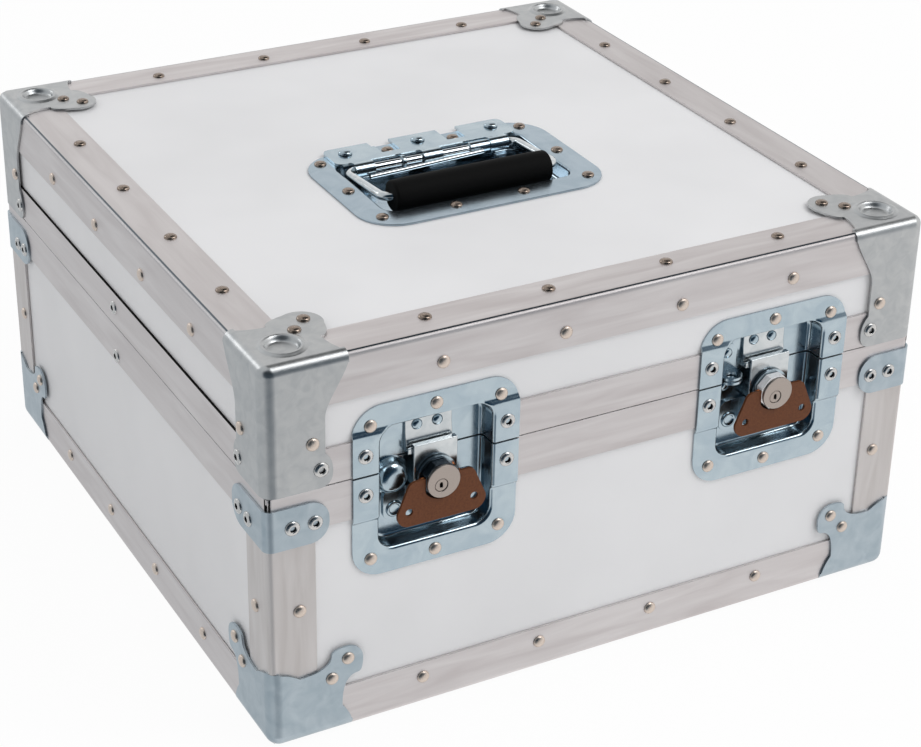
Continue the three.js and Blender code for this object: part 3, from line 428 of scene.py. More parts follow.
zinc = make_zinc("bright_zinc_plate", "abbac3", "b8c5cc", 0.15, 0.25, 16)
# Painted shade: a darker copy of the bright zinc, for the handle's dish.
zinc_painted_shade = make_zinc("zinc_plate_painted_shade", "9dadb8", "a9b7c1", 0.14, 0.24, 14)
zinc_satin = make_zinc("satin_zinc_plate", "b4b6b7", "c0c1c1", 0.3, 0.42, 8)
# Painted light: a lighter copy of the bright zinc, for the strikes and hooks.
zinc_painted_light = make_zinc("zinc_plate_painted_light", "c6cbcd", "d4d7d8", 0.15, 0.26, 10)
zinc_blue = make_zinc("blue_zinc_plate", "a6b3bb", "b5c0c7", 0.28, 0.4, 12)

# %% [markdown]
# Small turned parts are nickel or chrome plated. The lock face is brushed nickel, and the
# wing is steel with a flat copper-brown lacquer, with bare copper round its axle, made bright as
# a painted glint. The grip is moulded black rubber, nearly without shine. The two lock drums are
# one plating in a dark and a bright copy, painted reflections; the strike's bend has a painted
# dark reflection; and a darker copy of the rivet steel is painted shade on the rivets of the top
# and of the handle's dish. In all of these one fine grain sets the colour, the roughness and,
# where the coat is thick, the dents.

# %% Plated, painted and moulded finishes
def make_coat(name, low, high, smoothest, roughest, grain, metallic=1.0, detail=3, shine=0.5, dents=None,
              stops=(0.35, 0.65)):
    material, tree, shader, place = start_finish(name, metallic=metallic, shine=shine)
    marks = noise(tree, place, grain, detail)
    blend_colours(tree, shader, marks, low, high, *stops)
    vary_roughness(tree, shader, marks, smoothest, roughest)
    if dents:
        dent(tree, shader, marks, *dents)
    return material


chrome = make_coat("bright_chrome_plate", "c8cdd0", "d8dbdc", 0.05, 0.12, 3)
nickel = make_coat("brushed_nickel_face", "aca098", "b8ada5", 0.32, 0.45, 0.5)
# Painted dark reflection: the left drum's copy of the plating, made dark.
drum_painted_dark = make_coat("chrome_painted_dark_reflection", "444a50", "5c636a", 0.18, 0.3, 1.5)
rivet_steel = make_coat("nickel_rivet_steel", "d6c6b9", "e0d3c8", 0.34, 0.46, 0.9)
pop_aluminium = make_coat("pop_rivet_aluminium", "c4c3c1", "d5d3d1", 0.2, 0.34, 0.9)
# Painted bright reflection: the right drum's copy, barely metallic so that it shows white.
drum_painted_bright = make_coat("chrome_painted_bright_reflection", "eff0f1", "fafafa", 0.2, 0.3, 1.5, metallic=0.25)
# Painted shade: a darker copy of the rivet steel, for the rivets on the top and in the handle's dish.
shaded_rivet_steel = make_coat("rivet_steel_painted_shade", "7f7066", "a39589", 0.2, 0.32, 0.9)
# Painted dark reflection for the strike's bend.
zinc_painted_dark_reflection = make_coat("zinc_bend_painted_reflection", "48606e", "5d7685", 0.2, 0.3, 3)
copper = make_coat("copper_edge_painted_glint", "d0703c", "e38c54", 0.3, 0.45, 0.8)
lacquer = make_coat("copper_brown_lacquer", "5b331c", "724326", 0.45, 0.6, 1.2, metallic=0.2, detail=4,
                    shine=0.3, dents=(0.03, 0.4), stops=(0.3, 0.75))
rubber = make_coat("moulded_black_rubber", "040404", "080808", 0.6, 0.8, 0.9, metallic=0.0, shine=0.12,
                   dents=(0.05, 0.5))

# %% [markdown]
# The foam is open-cell polyether: cells of about a millimetre swallow the light, and the dents
# read the same cells. Bores, the keyhole, the open mitres and the lid ring's upward lip are
# painted nearly black: painted shade.

# %% Foam and painted shade
def make_foam():
    material, tree, shader, place = start_finish("charcoal_polyether_foam", roughness=0.95)
    cells = add_node(tree, "TexVoronoi", "Distance", {"Vector": place, "Scale": 1 / (1.4 * MM)})
    blend_colours(tree, shader, cells, "1a1b1e", "3c3f45", start=0.1, end=0.7)
    dent(tree, shader, cells, 0.4, strength=0.8)
    return material


# Painted shade: near-black for bores, the keyhole, open mitres and the lid ring's lip.
def make_painted_shade():
    material, tree, shader, place = start_finish("painted_shade_black", roughness=0.8, shine=0.1)
    blend_colours(tree, shader, noise(tree, place, 0.8), "0a0a0a", "141313")
    return material


foam = make_foam()
dark = make_painted_shade()
print("finishes:", len(bpy.data.materials))

# %% [markdown]
# A finished piece rides on one body and may stand for a solid of the model. Most
# of the hardware is zinc plated. Some faces of a piece can then be given a second material.

# %% Give a piece its finish and its body
def finish_piece(piece, material, body, *stands_for, slot="zinc"):
    piece.data.materials.clear()
    piece.data.materials.append(material)
    run_modifier(piece, "WEIGHTED_NORMAL", keep_sharp=True)
    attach(piece, body)
    if stands_for:
        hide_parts(*stands_for)
    return piece


def recolour(piece, material, is_there):
    piece.data.materials.append(material)
    for face in piece.data.polygons:
        if is_there(face):
            face.material_index = 1


# %% [markdown]
# The panels keep their solids: a board with sawn edges has no rounding to add. The bars of the
# edging are copied so that their rounded outer edge can be shaded smoothly, and each gets the
# finish whose lines run along it. Where a pressed corner covers the angles, they are rounded
# off like the corner over them. The rings of tongue and groove edging run in two directions, so
# their faces are given one of two finishes by where they lie. The open mitres of the base ring
# and the upward lip along the sides of the lid ring are painted black: painted shade.

# %% Panels and edging
for name, node in nodes.items():
    if name.endswith("_panel"):
        node.data.materials.clear()
        node.data.materials.append(laminate)


def make_corner_cutters(radius=6.8 * MM, reach=44 * MM, over=3 * MM):
    cutters = []
    case_ends = ((left, right), (front, back), (bottom, top))
    for limits in itertools.product(*(((low - over, low + reach), (high - reach, high + over))
                                      for low, high in case_ends)):
        cutter = case_cube(*zip(*limits))
        block = case_cube(*zip(*case_ends))
        run_modifier(block, "BEVEL", width=radius, segments=6)
        cutters.append(cut(cutter, block))
    return cutters


corner_cutters = make_corner_cutters()
mitres = ((left, front, -1), (right, back, -1), (right, front, 1), (left, back, 1))


def make_bar(node, body, run):
    bar = soften(merged_copy(node + "_bar", node), 0.25, edge_angle=50)
    if "angle" in node:
        for cutter in corner_cutters:
            run_modifier(bar, "BOOLEAN", operation="DIFFERENCE", object=cutter, solver="EXACT")
        smooth(bar, 35)
    else:
        for x, y, lean in mitres:
            bisect(bar, (x, y, 0), (1, lean, 0))
    return finish_piece(bar, aluminium[run], body, node, slot="aluminium")


mitre_radius, mitre_low, mitre_high = 2.6 * MM, base_top - 14 * MM, base_top - 3.2 * MM


def open_mitres(ring):
    for _, x in x_sides:
        for _, y in y_sides:
            cut(ring, round_bar("open_mitre", on_top, (x, y), mitre_radius, mitre_low, mitre_high, 8))


def colour_ring(ring, body):
    half_depth = (back - front) / 2
    ring.data.materials.append(aluminium["y"])
    ring.data.materials.append(dark)
    for face in ring.data.polygons:
        x, y, z = abs(face.center.x), abs(face.center.y - middle_y), face.center.z
        on_side_run = x / abs(left) > y / (back - front) * 2
        # Painted shade on the inside of the open mitres and on the lid ring's upward lip.
        if body == "base":
            is_dark = math.hypot(x - right, y - half_depth) < mitre_radius + 0.02 * MM \
                and mitre_low + 0.1 * MM < z < mitre_high - 0.1 * MM
        else:
            is_dark = on_side_run and face.normal.z > 0.2 and x > right - 3 * MM
        face.material_index = 2 if is_dark else 1 if on_side_run else 0


for side, run in (("front", "x"), ("back", "x"), ("left", "y"), ("right", "y")):
    make_bar(f"top_angle_{side}", "lid", run)
    make_bar(f"bottom_angle_{side}", "base", run)
for corner in corners:
    make_bar(f"post_angle_{corner}", "base", "z")
for node, body in (("base_tongue_frame", "base"), ("lid_groove_frame", "lid")):
    ring = make_bar(node, body, "x")
    if body == "base":
        open_mitres(ring)
    colour_ring(ring, body)
for cutter in corner_cutters:
    bpy.data.objects.remove(cutter)
print("bars of edging: 14")

# %% [markdown]
# Every pressed corner is one piece of sheet, bent over three faces of the case. It is made as
# the press makes it: a skin is laid round a rounded block, and then the blank's outline is
# stamped out of it from each face. The brace is cut from the same skin with two leaves.

# %% Sheet skin round one corner of the case
cap_sheet = 1.3 * MM
cap_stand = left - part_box("lid_corner_front_left")[0].x
cap_bend = 3.5 * MM + cap_stand
upright_bend = 8.2 * MM
widest_bend = 10 * MM
stamp_over = 15 * MM


def corner_skin(name, reach, z0, z1, upright=cap_bend, level=cap_bend):
    stand = Vector((cap_stand,) * 3)
    skin = case_cube(Vector((left, front, bottom)) - stand, Vector((right, back, top)) + stand)
    skin.name = name
    weights = skin.data.attributes.new("bevel_weight_edge", "FLOAT", "EDGE")
    for edge, weight in zip(skin.data.edges, weights.data):
        a, b = (skin.data.vertices[i].co for i in edge.vertices)
        weight.value = (upright if abs(a.z - b.z) > MM else level) / widest_bend
    run_modifier(skin, "BEVEL", width=widest_bend, segments=8, limit_method="WEIGHT")
    bisect(skin, (left + reach, 0, 0), (1, 0, 0), clear_outer=True)
    bisect(skin, (0, front + reach, 0), (0, 1, 0), clear_outer=True)
    bisect(skin, (0, 0, z1), (0, 0, 1), clear_outer=True)
    bisect(skin, (0, 0, z0), (0, 0, 1), clear_inner=True)
    run_modifier(skin, "SOLIDIFY", thickness=cap_sheet, offset=-1, use_even_offset=True)
    return skin


def stamp_leaves(skin, front_outline, flat_outline=None, flat_z=0.0, side_outline=None):
    leaf = [(left + u, z) for u, z in front_outline]
    stamp = slab("stamp", leaf, on_front, front - stamp_over, front + cap_bend)
    leaf = [(front + u, z) for u, z in side_outline or front_outline]
    weld(stamp, slab("stamp_side", leaf, on_side, left - stamp_over, left + cap_bend))
    if flat_outline:
        leaf = [(left + u, front + v) for u, v in flat_outline]
        below, above = (cap_bend, stamp_over) if flat_z > parting else (stamp_over, cap_bend)
        weld(stamp, slab("stamp_flat", leaf, on_top, flat_z - below, flat_z + above))
    return soften(combine(skin, stamp, "INTERSECT"), 0.35, edge_angle=60, smooth_angle=40)


def across(points):
    return [(b, a) for a, b in reversed(points)]


# %% Outlines of the corners
def lid_corner_outlines():
    width, waist, toe_out, toe_radius = 49 * MM, 34.6 * MM, 31 * MM, 8 * MM
    toe_x, toe_z = toe_out + toe_radius, lid_bottom + 9.6 * MM
    toe_top = toe_z + math.sqrt(toe_radius ** 2 - (waist - toe_out) ** 2)
    shoulder = top - 35 * MM
    side = [(-stamp_over, lid_bottom)]
    side += curve((toe_out, lid_bottom), (toe_x, lid_bottom), (toe_x, toe_z))
    side += curve((toe_x, toe_z), (toe_x, toe_top), (waist, toe_top + toe_radius / 2))[1:]
    side += curve((waist, shoulder), (waist, top - 26 * MM), (width - 3 * MM, top - 14 * MM),
                  (width, top - 3 * MM), steps=14)
    side += [(width, top + stamp_over), (-stamp_over, top + stamp_over)]
    neck, lobe, lobe_radius = (43 * MM, 21 * MM), 40 * MM, 11.3 * MM
    swell = (lobe + lobe_radius, lobe - lobe_radius / 2)
    lean = math.degrees(math.atan(1 / 2))
    half = curve((width, 0), (neck[0], neck[1] / 2), neck)
    half += curve(neck, (neck[0] + lobe_radius / 2, neck[1]), swell)[1:]
    round_end = arc((lobe, lobe), lobe_radius * math.hypot(1, 1 / 2), -lean, 90 + lean, steps=18)
    return side, flat_leaf(width, half, round_end)


def bottom_corner_outline():
    width, notch = 49.5 * MM, (43 * MM, 17 * MM)
    lobe, radius = 46.5 * MM, 9.6 * MM
    end = (lobe + radius, lobe)
    saddle = (end[0] - radius / 3, lobe - radius)
    half = curve((width, 0), (width, notch[1] / 2), notch)
    half += curve(notch, (notch[0], lobe - radius), saddle)[1:]
    half += curve(saddle, (end[0], lobe - radius), end)[1:]
    return flat_leaf(width, half, arc((lobe, lobe), radius, 0, 90, steps=12))


def flat_leaf(width, half, round_end):
    outer = [(-stamp_over, -stamp_over), (width, -stamp_over)]
    return outer + half + round_end[1:-1] + across(half) + [(-stamp_over, width)]


# %% [markdown]
# The round dish in the top of a lid corner keeps stacked cases from sliding. It is drawn
# downwards out of the sheet, and a low bead stands round it where the sheet was held.

# %% Pressed corners and braces
stack_inset, stack_hole = 20.4 * MM, 13.6 * MM
stack_centre = (left + stack_inset, front + stack_inset)
stack_profile = ((14.2, -0.05), (13.6, 0.08), (12.9, 0.4), (12.1, 0.9), (11.3, 1.15), (10.5, 1.0),
                 (9.8, 0.4), (9.2, -0.7), (8.6, -1.7), (7.8, -2.2), (6.6, -2.35), (3.0, -2.4))


def stacking_dish(leaf_z):
    rings = [on_top(circle(stack_centre, r * MM), leaf_z + z * MM) for r, z in stack_profile]
    dish = loft("stacking_dish", rings, open_start=True)
    if dish.data.polygons[0].normal.z < 0:
        dish.data.flip_normals()
    run_modifier(dish, "SOLIDIFY", thickness=cap_sheet, offset=-1)
    return smooth(dish, 40)


def make_lid_corner():
    side, flat = lid_corner_outlines()
    corner = corner_skin("lid_corner", 60 * MM, lid_bottom, top + 20 * MM, upright_bend, 5.8 * MM)
    stamp_leaves(corner, side, flat, top)
    cut(corner, round_bar("bore", on_top, stack_centre, stack_hole, top - 20 * MM, top + 20 * MM, 48))
    smooth(corner, 40)
    return join("lid_corner", [corner, stacking_dish(top + cap_stand)])


def make_bottom_corner():
    outline = bottom_corner_outline()
    corner = corner_skin("bottom_corner", 62 * MM, bottom - 20 * MM, bottom + 62 * MM,
                         upright_bend, upright_bend)
    return stamp_leaves(corner, [(u, bottom + v) for u, v in outline], outline, bottom)


def make_corner_brace():
    z0, z1 = (limit.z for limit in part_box("corner_brace_front_left"))
    radius = 0.45 * (z1 - z0)
    front_leaf, side_leaf = (
        [(-stamp_over, z0)] + arc((reach - radius, z0 + radius), radius, 270, 360)
        + arc((reach - radius, z1 - radius), radius, 0, 90) + [(-stamp_over, z1)]
        for reach in (36.4 * MM, 43.5 * MM))
    brace = corner_skin("corner_brace", 60 * MM, z0, z1, upright=5.5 * MM)
    return stamp_leaves(brace, front_leaf, side_outline=side_leaf)


def to_corner(corner):
    mirror = Matrix.Diagonal((*corners[corner], 1, 1))
    return Matrix.Translation((0, 2 * middle_y, 0)) @ mirror if "back" in corner else mirror


for kind, make, material, body in (("lid_corner", make_lid_corner, zinc_satin, "lid"),
                                   ("bottom_corner", make_bottom_corner, zinc_blue, "base"),
                                   ("corner_brace", make_corner_brace, zinc_blue, "base")):
    pattern = make()
    for corner in corners:
        piece = copy_moved(pattern, f"{kind}_{corner}_sheet", to_corner(corner))
        finish_piece(piece, material, body, f"{kind}_{corner}")
    print(kind, "faces:", len(pattern.data.polygons))
    bpy.data.objects.remove(pattern)

# %% [markdown]
# Two kinds of rivet hold the case. A solid rivet has a low dome; where only one side can be
# reached there is a pop rivet, a wider dome with the bore that its pulled stem has left. Both
# are turned shapes, lofted once in circles and copied to every place on their body.

# %% Rivets
solid_profile = ((3.85, 0.3), (3.85, -0.25), (3.6, -0.85), (2.9, -1.35), (1.9, -1.65), (0.8, -1.78))
pop_profile = ((4.5, 0.3), (4.5, -0.25), (4.2, -0.75), (3.4, -1.15), (2.5, -1.35), (2.05, -1.3),
               (1.85, -1.1), (1.8, 0.2))
small_profile = ((3.3, 0.3), (3.3, -0.3), (3.0, -0.9), (2.3, -1.4), (1.3, -1.65), (0.5, -1.7))
ring_profile = ((5.0, 0.3), (5.0, -0.5), (4.6, -1.0), (3.9, -1.15), (3.3, -0.9), (3.0, -0.3), (2.6, -0.1))
big_profile = [(r * 1.15, y * 1.1) for r, y in solid_profile]


def make_rivet(name, profile, material):
    rivet = smooth(loft(name, [on_front(circle((0, 0), r * MM, 24), y * MM) for r, y in profile]), 50)
    rivet.data.materials.append(material)
    return rivet


solid_rivet = make_rivet("solid_rivet", solid_profile, rivet_steel)
shaded_rivet = make_rivet("shaded_rivet", solid_profile, shaded_rivet_steel)
pop_rivet = make_rivet("pop_rivet", pop_profile, pop_aluminium)
small_rivet = make_rivet("small_zinc_rivet", small_profile, zinc)
ring_rivet = make_rivet("ring_rivet", ring_profile, zinc)
big_rivet = make_rivet("big_zinc_rivet", big_profile, zinc)
# Painted shade: the bore of each pop rivet is black.
recolour(pop_rivet, dark, lambda face: all(math.hypot(*pop_rivet.data.vertices[i].co.xz) < 1.95 * MM
                                           for i in face.vertices))

facing = {
    "front": Matrix.Identity(4),
    "back": Matrix.Rotation(math.pi, 4, "Z"),
    "left": Matrix.Rotation(-math.pi / 2, 4, "Z"),
    "right": Matrix.Rotation(math.pi / 2, 4, "Z"),
    "top": Matrix.Rotation(-math.pi / 2, 4, "X"),
}


def set_rivets(name, rivet, body, places):
    heads = [copy_moved(rivet, name, Matrix.Translation(place) @ facing[side]) for side, place in places]
    piece = join(name, heads)
    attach(piece, body)
    print(name, len(places))


# %% [markdown]
# The rivets along the edging stand three inches apart. Each row starts where the photographed
# one does, and the hidden rows repeat the row across from them. There are none under the floor.

# %% Rows of rivets
row_in = 18.5 * MM
lid_places, lid_top_places, base_places, lid_pops, base_pops = [], [], [], [], []


def row(first, last, centre=0.0, count=4):
    return [centre + (first + (last - first) * i / (count - 1)) * MM for i in range(count)]


def on_both(faces, place):
    return [(side, place(edge)) for side, edge in faces]


for x in row(-109.5, 121):
    lid_top_places += [("top", (x, front + row_in, top)), ("top", (x + 2 * MM, back - row_in, top))]
for first, last, x in ((-119, 109, left + row_in), (-117, 117, right - row_in)):
    lid_top_places += [("top", (x, y, top)) for y in row(first, last, middle_y)]
for places, across_case, z, into_depth, side_z in (
        (lid_places, (-107.5, 121), top - 19 * MM, (-117, 111), top - 21 * MM),
        (base_places, (-118, 113), bottom + row_in, (-115, 116), bottom + 16 * MM)):
    for x in row(*across_case):
        places += [("front", (x, front, z)), ("back", (-x, back, z))]
    for y in row(*into_depth, middle_y):
        places += on_both(x_sides, lambda x: (x, y, side_z))
for x in (left + row_in, right - row_in):
    base_places += on_both(y_sides, lambda y: (x, y, bottom + 87.6 * MM))
for y in (front + row_in, back - row_in):
    base_places += on_both(x_sides, lambda x: (x, y, bottom + 86 * MM))


def on_corner_leaves(u, z, leaf):
    places = []
    for toward_x, toward_y in corners.values():
        (x_side, x), (y_side, y) = x_sides[toward_x < 0], y_sides[toward_y < 0]
        places.append({
            "front": (y_side, (x + toward_x * u, y - toward_y * cap_stand, z)),
            "side": (x_side, (x - toward_x * cap_stand, y + toward_y * u, z)),
            "top": ("top", (x + toward_x * u, y + toward_y * u, z)),
        }[leaf])
    return places


leaf_rivets = (
    (lid_places, "front", 27.2, 191.8), (lid_places, "side", 28.5, 193.8),
    (base_places, "front", 46.8, 48), (base_places, "side", 46.8, 48),
    (base_places, "front", 36.8, 37.2), (base_places, "side", 36.8, 37.2),
    (lid_pops, "front", 32, 175), (lid_pops, "side", 33.4, 173.5),
    (base_pops, "front", 14.5, 143), (base_pops, "front", 28, 143),
    (base_pops, "side", 22, 140.5), (base_pops, "side", 35, 141.5),
)
for places, leaf, u, height in leaf_rivets:
    places += on_corner_leaves(u * MM, bottom + height * MM, leaf)
for u in (33.3 * MM, 43 * MM):
    lid_top_places += on_corner_leaves(u, top + cap_stand, "top")
for places, height in ((lid_pops, 175.5 * MM), (base_pops, 142.5 * MM)):
    places += on_both(x_sides, lambda x: (x, middle_y + 10 * MM, bottom + height))
set_rivets("lid_solid_rivets", solid_rivet, "lid", lid_places)
# The top rivets take the darker rivet steel: painted shade.
set_rivets("lid_top_rivets", shaded_rivet, "lid", lid_top_places)
set_rivets("base_solid_rivets", solid_rivet, "base", base_places)
set_rivets("lid_pop_rivets", pop_rivet, "lid", lid_pops)
set_rivets("base_pop_rivets", pop_rivet, "base", base_pops)

# %% [markdown]
# A catch dish is drawn out of one sheet and then parted along the opening line. Its flange
# lies on the laminate and steps up over the edging. The dish is lofted flat as one surface:
# flange, rolled rim, wall, floor. It is then cut along the lines of the step, the flange is
# moved in or out by height, and the sheet gets its thickness backwards.

# %% Dishes of the catches
dish_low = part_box("latch_left_lower_dish")[0]
dish_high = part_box("latch_left_upper_dish")[1]
catch_x = abs(dish_low.x + dish_high.x) / 2
catch_z = (dish_low.z + dish_high.z) / 2
dish_sheet = 1.2 * MM
flange_half, flange_radius = (dish_high.x - dish_low.x) / 2, 18 * MM
catch_opening = (-34.5 * MM, 34.5 * MM, catch_z - 38.1 * MM, catch_z + 39 * MM, 9 * MM)
rim_roll, floor_roll = 2.2 * MM, 2.6 * MM
floor_y = front + 11.6 * MM
step_up, step_down = -1.3 * MM, 0.4 * MM
step_z = (base_top - 27.1 * MM, lid_bottom + 24.1 * MM)
step_run = 3.7 * MM


def drawn_dish(name, face, flange, opening, level, floor, roll, bend, steps):
    inward = 1 if floor > level else -1
    turns = [math.radians(90 * i / steps) for i in range(steps + 1)]

    def ring(grow, depth):
        a0, a1, b0, b1, radius = opening
        return face(rounded(a0 - grow, a1 + grow, b0 - grow, b1 + grow, radius + grow), depth)

    rings = [face(flange, level), ring(roll, level)]
    rings += [ring(roll * (1 - math.sin(t)), level + inward * roll * (1 - math.cos(t))) for t in turns[1:]]
    rings += [ring(-bend * (1 - math.cos(t)), floor - inward * bend * (1 - math.sin(t))) for t in turns]
    dish = loft(name, rings, open_start=True)
    floor_normal = next(f for f in dish.data.polygons if len(f.vertices) > 4).normal
    if floor_normal[1 if face is on_front else 2] * inward > 0:
        dish.data.flip_normals()
    return dish


def flange_lift(z):
    beyond = max(step_z[0] - z, z - step_z[1], 0.0)
    share = min(1.0, beyond / step_run)
    return step_up + (step_down - step_up) * share * share * (3 - 2 * share)


def press_flange(surface):
    for share in (0, 0.25, 0.4, 0.6, 0.75, 1):
        bisect(surface, (0, 0, step_z[0] - share * step_run), (0, 0, 1))
        bisect(surface, (0, 0, step_z[1] + share * step_run), (0, 0, 1))
    wall_end = floor_y - floor_roll
    for vertex in surface.data.vertices:
        share = max(0.0, min(1.0, (wall_end - vertex.co.y) / (wall_end - front - rim_roll)))
        vertex.co.y += flange_lift(vertex.co.z) * share


def dish_half(surface, name, upper):
    half = copy_moved(surface, name, Matrix.Identity(4))
    line = lid_bottom + 0.3 * MM if upper else base_top - 0.3 * MM
    bisect(half, (0, 0, line), (0, 0, 1), clear_outer=not upper, clear_inner=upper)
    run_modifier(half, "SOLIDIFY", thickness=dish_sheet, offset=-1, use_even_offset=True)
    return soften(half, 0.3, edge_angle=32, smooth_angle=28)


catch_flange = rounded(-flange_half, flange_half, dish_low.z, dish_high.z, flange_radius)
surface = drawn_dish("dish_surface", on_front, catch_flange, catch_opening, front, floor_y,
                     rim_roll, floor_roll, steps=5)
press_flange(surface)
catches = (("left", -1), ("right", 1))
for level, body in (("lower", "base"), ("upper", "lid")):
    pattern = dish_half(surface, level + "_dish", level == "upper")
    print(level, "dish faces:", len(pattern.data.polygons))
    for side, sign in catches:
        node = f"latch_{side}_{level}_dish"
        piece = copy_moved(pattern, node + "_sheet", Matrix.Translation((sign * catch_x, 0, 0)))
        finish_piece(piece, zinc, body, node)
    bpy.data.objects.remove(pattern)
bpy.data.objects.remove(surface)

# %% Rivets of the dishes
flange_rivets = (
    ("upper_solid", solid_rivet, "lid", ((-40, 42.2), (0, 46.8), (40, 42.2))),
    ("upper_pop", pop_rivet, "lid", ((-43.6, 25), (43.6, 25))),
    ("lower_pop", pop_rivet, "base", ((-43.6, 0.5), (43.6, 0.5))),
    ("lower_solid", solid_rivet, "base", ((-40, -42.2), (0, -46.8), (40, -42.2))),
)
for side, sign in catches:
    for kind, rivet, body, places in flange_rivets:
        places = [(sign * catch_x + x * MM, catch_z + z * MM) for x, z in places]
        set_rivets(f"latch_{side}_{kind}_rivets", rivet, body,
                   [("front", (x, front + flange_lift(z), z)) for x, z in places])


def in_dish(centre_x, y, places):
    return [("front", (centre_x + x * MM, y, catch_z + z * MM)) for x, z in places]


# %% [markdown]
# Inside each dish a bridge carries the lock, and the draw hook slides up and down under it. The
# bridge is a hat section with two feet riveted to the floor and a round boss for the barrel.
# Each part is a plate with its outline, joined and then softened like a punched edge.

# %% Bridge of the lock
lock_dx = 1.6 * MM
lock_z = catch_z
bridge_inner, bridge_outer = 14.1 * MM, 15.7 * MM
bridge_y, bridge_sheet = front + 1.6 * MM, 1.6 * MM
foot_y = floor_y - bridge_sheet
sunk_y = floor_y + 0.2 * MM


def make_bridge():
    z0, z1 = lock_z - 25 * MM, lock_z - 4 * MM
    outline = rounded(-bridge_outer, bridge_outer, z0, z1 + 5 * MM, 5 * MM)
    plate = slab("bridge", outline, on_front, bridge_y, floor_y)
    bisect(plate, (0, 0, z1), (0, 0, 1), clear_outer=True, fill=True)
    weld(plate, round_bar("boss", on_front, (0, lock_z), 12 * MM, bridge_y, bridge_y + bridge_sheet, 48))
    feet = rounded(-29.2 * MM, 29.2 * MM, lock_z - 27 * MM, lock_z - 7 * MM, 5 * MM)
    weld(plate, slab("feet", feet, on_front, foot_y, sunk_y))
    tunnel = rectangle(-bridge_inner, bridge_inner, z0 - 30 * MM, lock_z + 30 * MM)
    cut(plate, slab("tunnel", tunnel, on_front, bridge_y + bridge_sheet, floor_y + 5 * MM))
    cut(plate, round_bar("bore", on_front, (0, lock_z), 6.7 * MM, bridge_y - 5 * MM, floor_y))
    return soften(plate, 0.5, segments=3)


bridge = make_bridge()
for side, sign in catches:
    lock_x = sign * catch_x + lock_dx
    piece = copy_moved(bridge, f"latch_{side}_bridge", Matrix.Translation((lock_x, 0, 0)))
    finish_piece(piece, zinc, "base")
    set_rivets(f"latch_{side}_bridge_rivets", ring_rivet, "base",
               in_dish(lock_x, foot_y, ((-22.6, -20), (22.6, -20))))
bpy.data.objects.remove(bridge)

# %% [markdown]
# The left dish has a domed buffer beside the lock, pressed out of its floor, and the right one
# a pair of ears for a padlock. An ear is a plate on the floor with its end turned outwards,
# round and pierced. One ear is on the lid half and one on the base half, a hair apart.

# %% Buffer and padlock ears
buffer_x, buffer_z, buffer_radius, buffer_rise = -23.5 * MM, catch_z + 2.1 * MM, 10.3 * MM, 8.3 * MM
ear_x, ear_half, ear_sheet = catch_x - 26 * MM, 7.25 * MM, 1.5 * MM


def make_buffer():
    discs = [(buffer_radius + 1.4 * MM, 0.05 * MM), (buffer_radius + 0.5 * MM, 0.35 * MM)]
    for t in (math.radians(turn) for turn in range(12, 85, 12)):
        discs.append((buffer_radius * math.sqrt(math.cos(t)), buffer_rise * math.sin(t)))
    rings = [on_front(circle((0, 0), radius), floor_y - rise) for radius, rise in discs]
    dome = smooth(loft("latch_left_buffer", rings), 40)
    dome.data.transform(Matrix.Translation((-catch_x + buffer_x, 0, buffer_z)))
    finish_piece(dome, zinc, "base")


def make_ear(name, body, direction, plate_length, rivet_place):
    x0, x1 = ear_x - ear_half, ear_x + ear_half
    edge = parting + direction * 0.6 * MM
    outline = rounded(x0, x1, *sorted((edge, edge + direction * plate_length)), 5 * MM)
    plate = slab(name, outline, on_front, floor_y - ear_sheet, sunk_y)
    square = rectangle(x0, x1, *sorted((edge, edge + direction * 6 * MM)))
    weld(plate, slab("square", square, on_front, floor_y - ear_sheet, sunk_y))
    reach = front - 2.2 * MM + ear_half
    tip = [(x0, floor_y), (x0, reach)] + arc((ear_x, reach), ear_half, 180, 360, 20)[1:-1]
    tip += [(x1, reach), (x1, floor_y)]
    weld(plate, slab("tab", tip, on_top, *sorted((edge, edge + direction * ear_sheet))))
    hole_centre = (ear_x, floor_y - 8.6 * MM)
    cut(plate, round_bar("hole", on_top, hole_centre, 3.6 * MM, parting - 9 * MM, parting + 9 * MM))
    finish_piece(soften(plate, 0.35), zinc, body)
    set_rivets(f"{name}_rivet", small_rivet, body, in_dish(catch_x, floor_y - ear_sheet, (rivet_place,)))


make_buffer()
make_ear("latch_right_upper_ear", "lid", 1, 18 * MM, (-25.4, 25.6))
make_ear("latch_right_lower_ear", "base", -1, 15 * MM, (-26, 4.1))

# %% [markdown]
# The strike and the hook are plain bent plates whose solids are already right, so copies of
# them only get the soft edges of punched steel. Both get the lighter copy of the zinc, painted
# light, and the strike's bend has a painted dark reflection where it looks up and forward.

# %% Strikes and hooks
for side, sign in catches:
    strike = soften(merged_copy(f"latch_{side}_strike_plate", f"latch_{side}_strike"), 0.4, segments=3)
    finish_piece(strike, zinc_painted_light, "lid", f"latch_{side}_strike")
    # Painted dark reflection on the strike's faces that look up and forward.
    recolour(strike, zinc_painted_dark_reflection, lambda face: face.normal.z > 0.2 and face.normal.y < -0.3)
    hook = soften(merged_copy(f"latch_{side}_hook_plate", f"latch_{side}_hook"), 0.45, segments=3)
    finish_piece(hook, zinc_painted_light, f"{side}_hook", f"latch_{side}_hook")
    set_rivets(f"latch_{side}_strike_rivets", small_rivet, "lid",
               in_dish(sign * catch_x, floor_y - 1.7 * MM, ((-7.2, 30.4), (5.4, 30.2))))

# %% [markdown]
# The lock barrel is a plated drum with eight flats under a round nickel face. Both drums are one
# plating, painted bright in the right catch and dark in the left: painted reflections. The
# keyhole plug sits off its middle. The wing turns on a thin axle through the drum: it is punched
# from sheet with a notch that clears the drum, and two small ears are turned back along it.

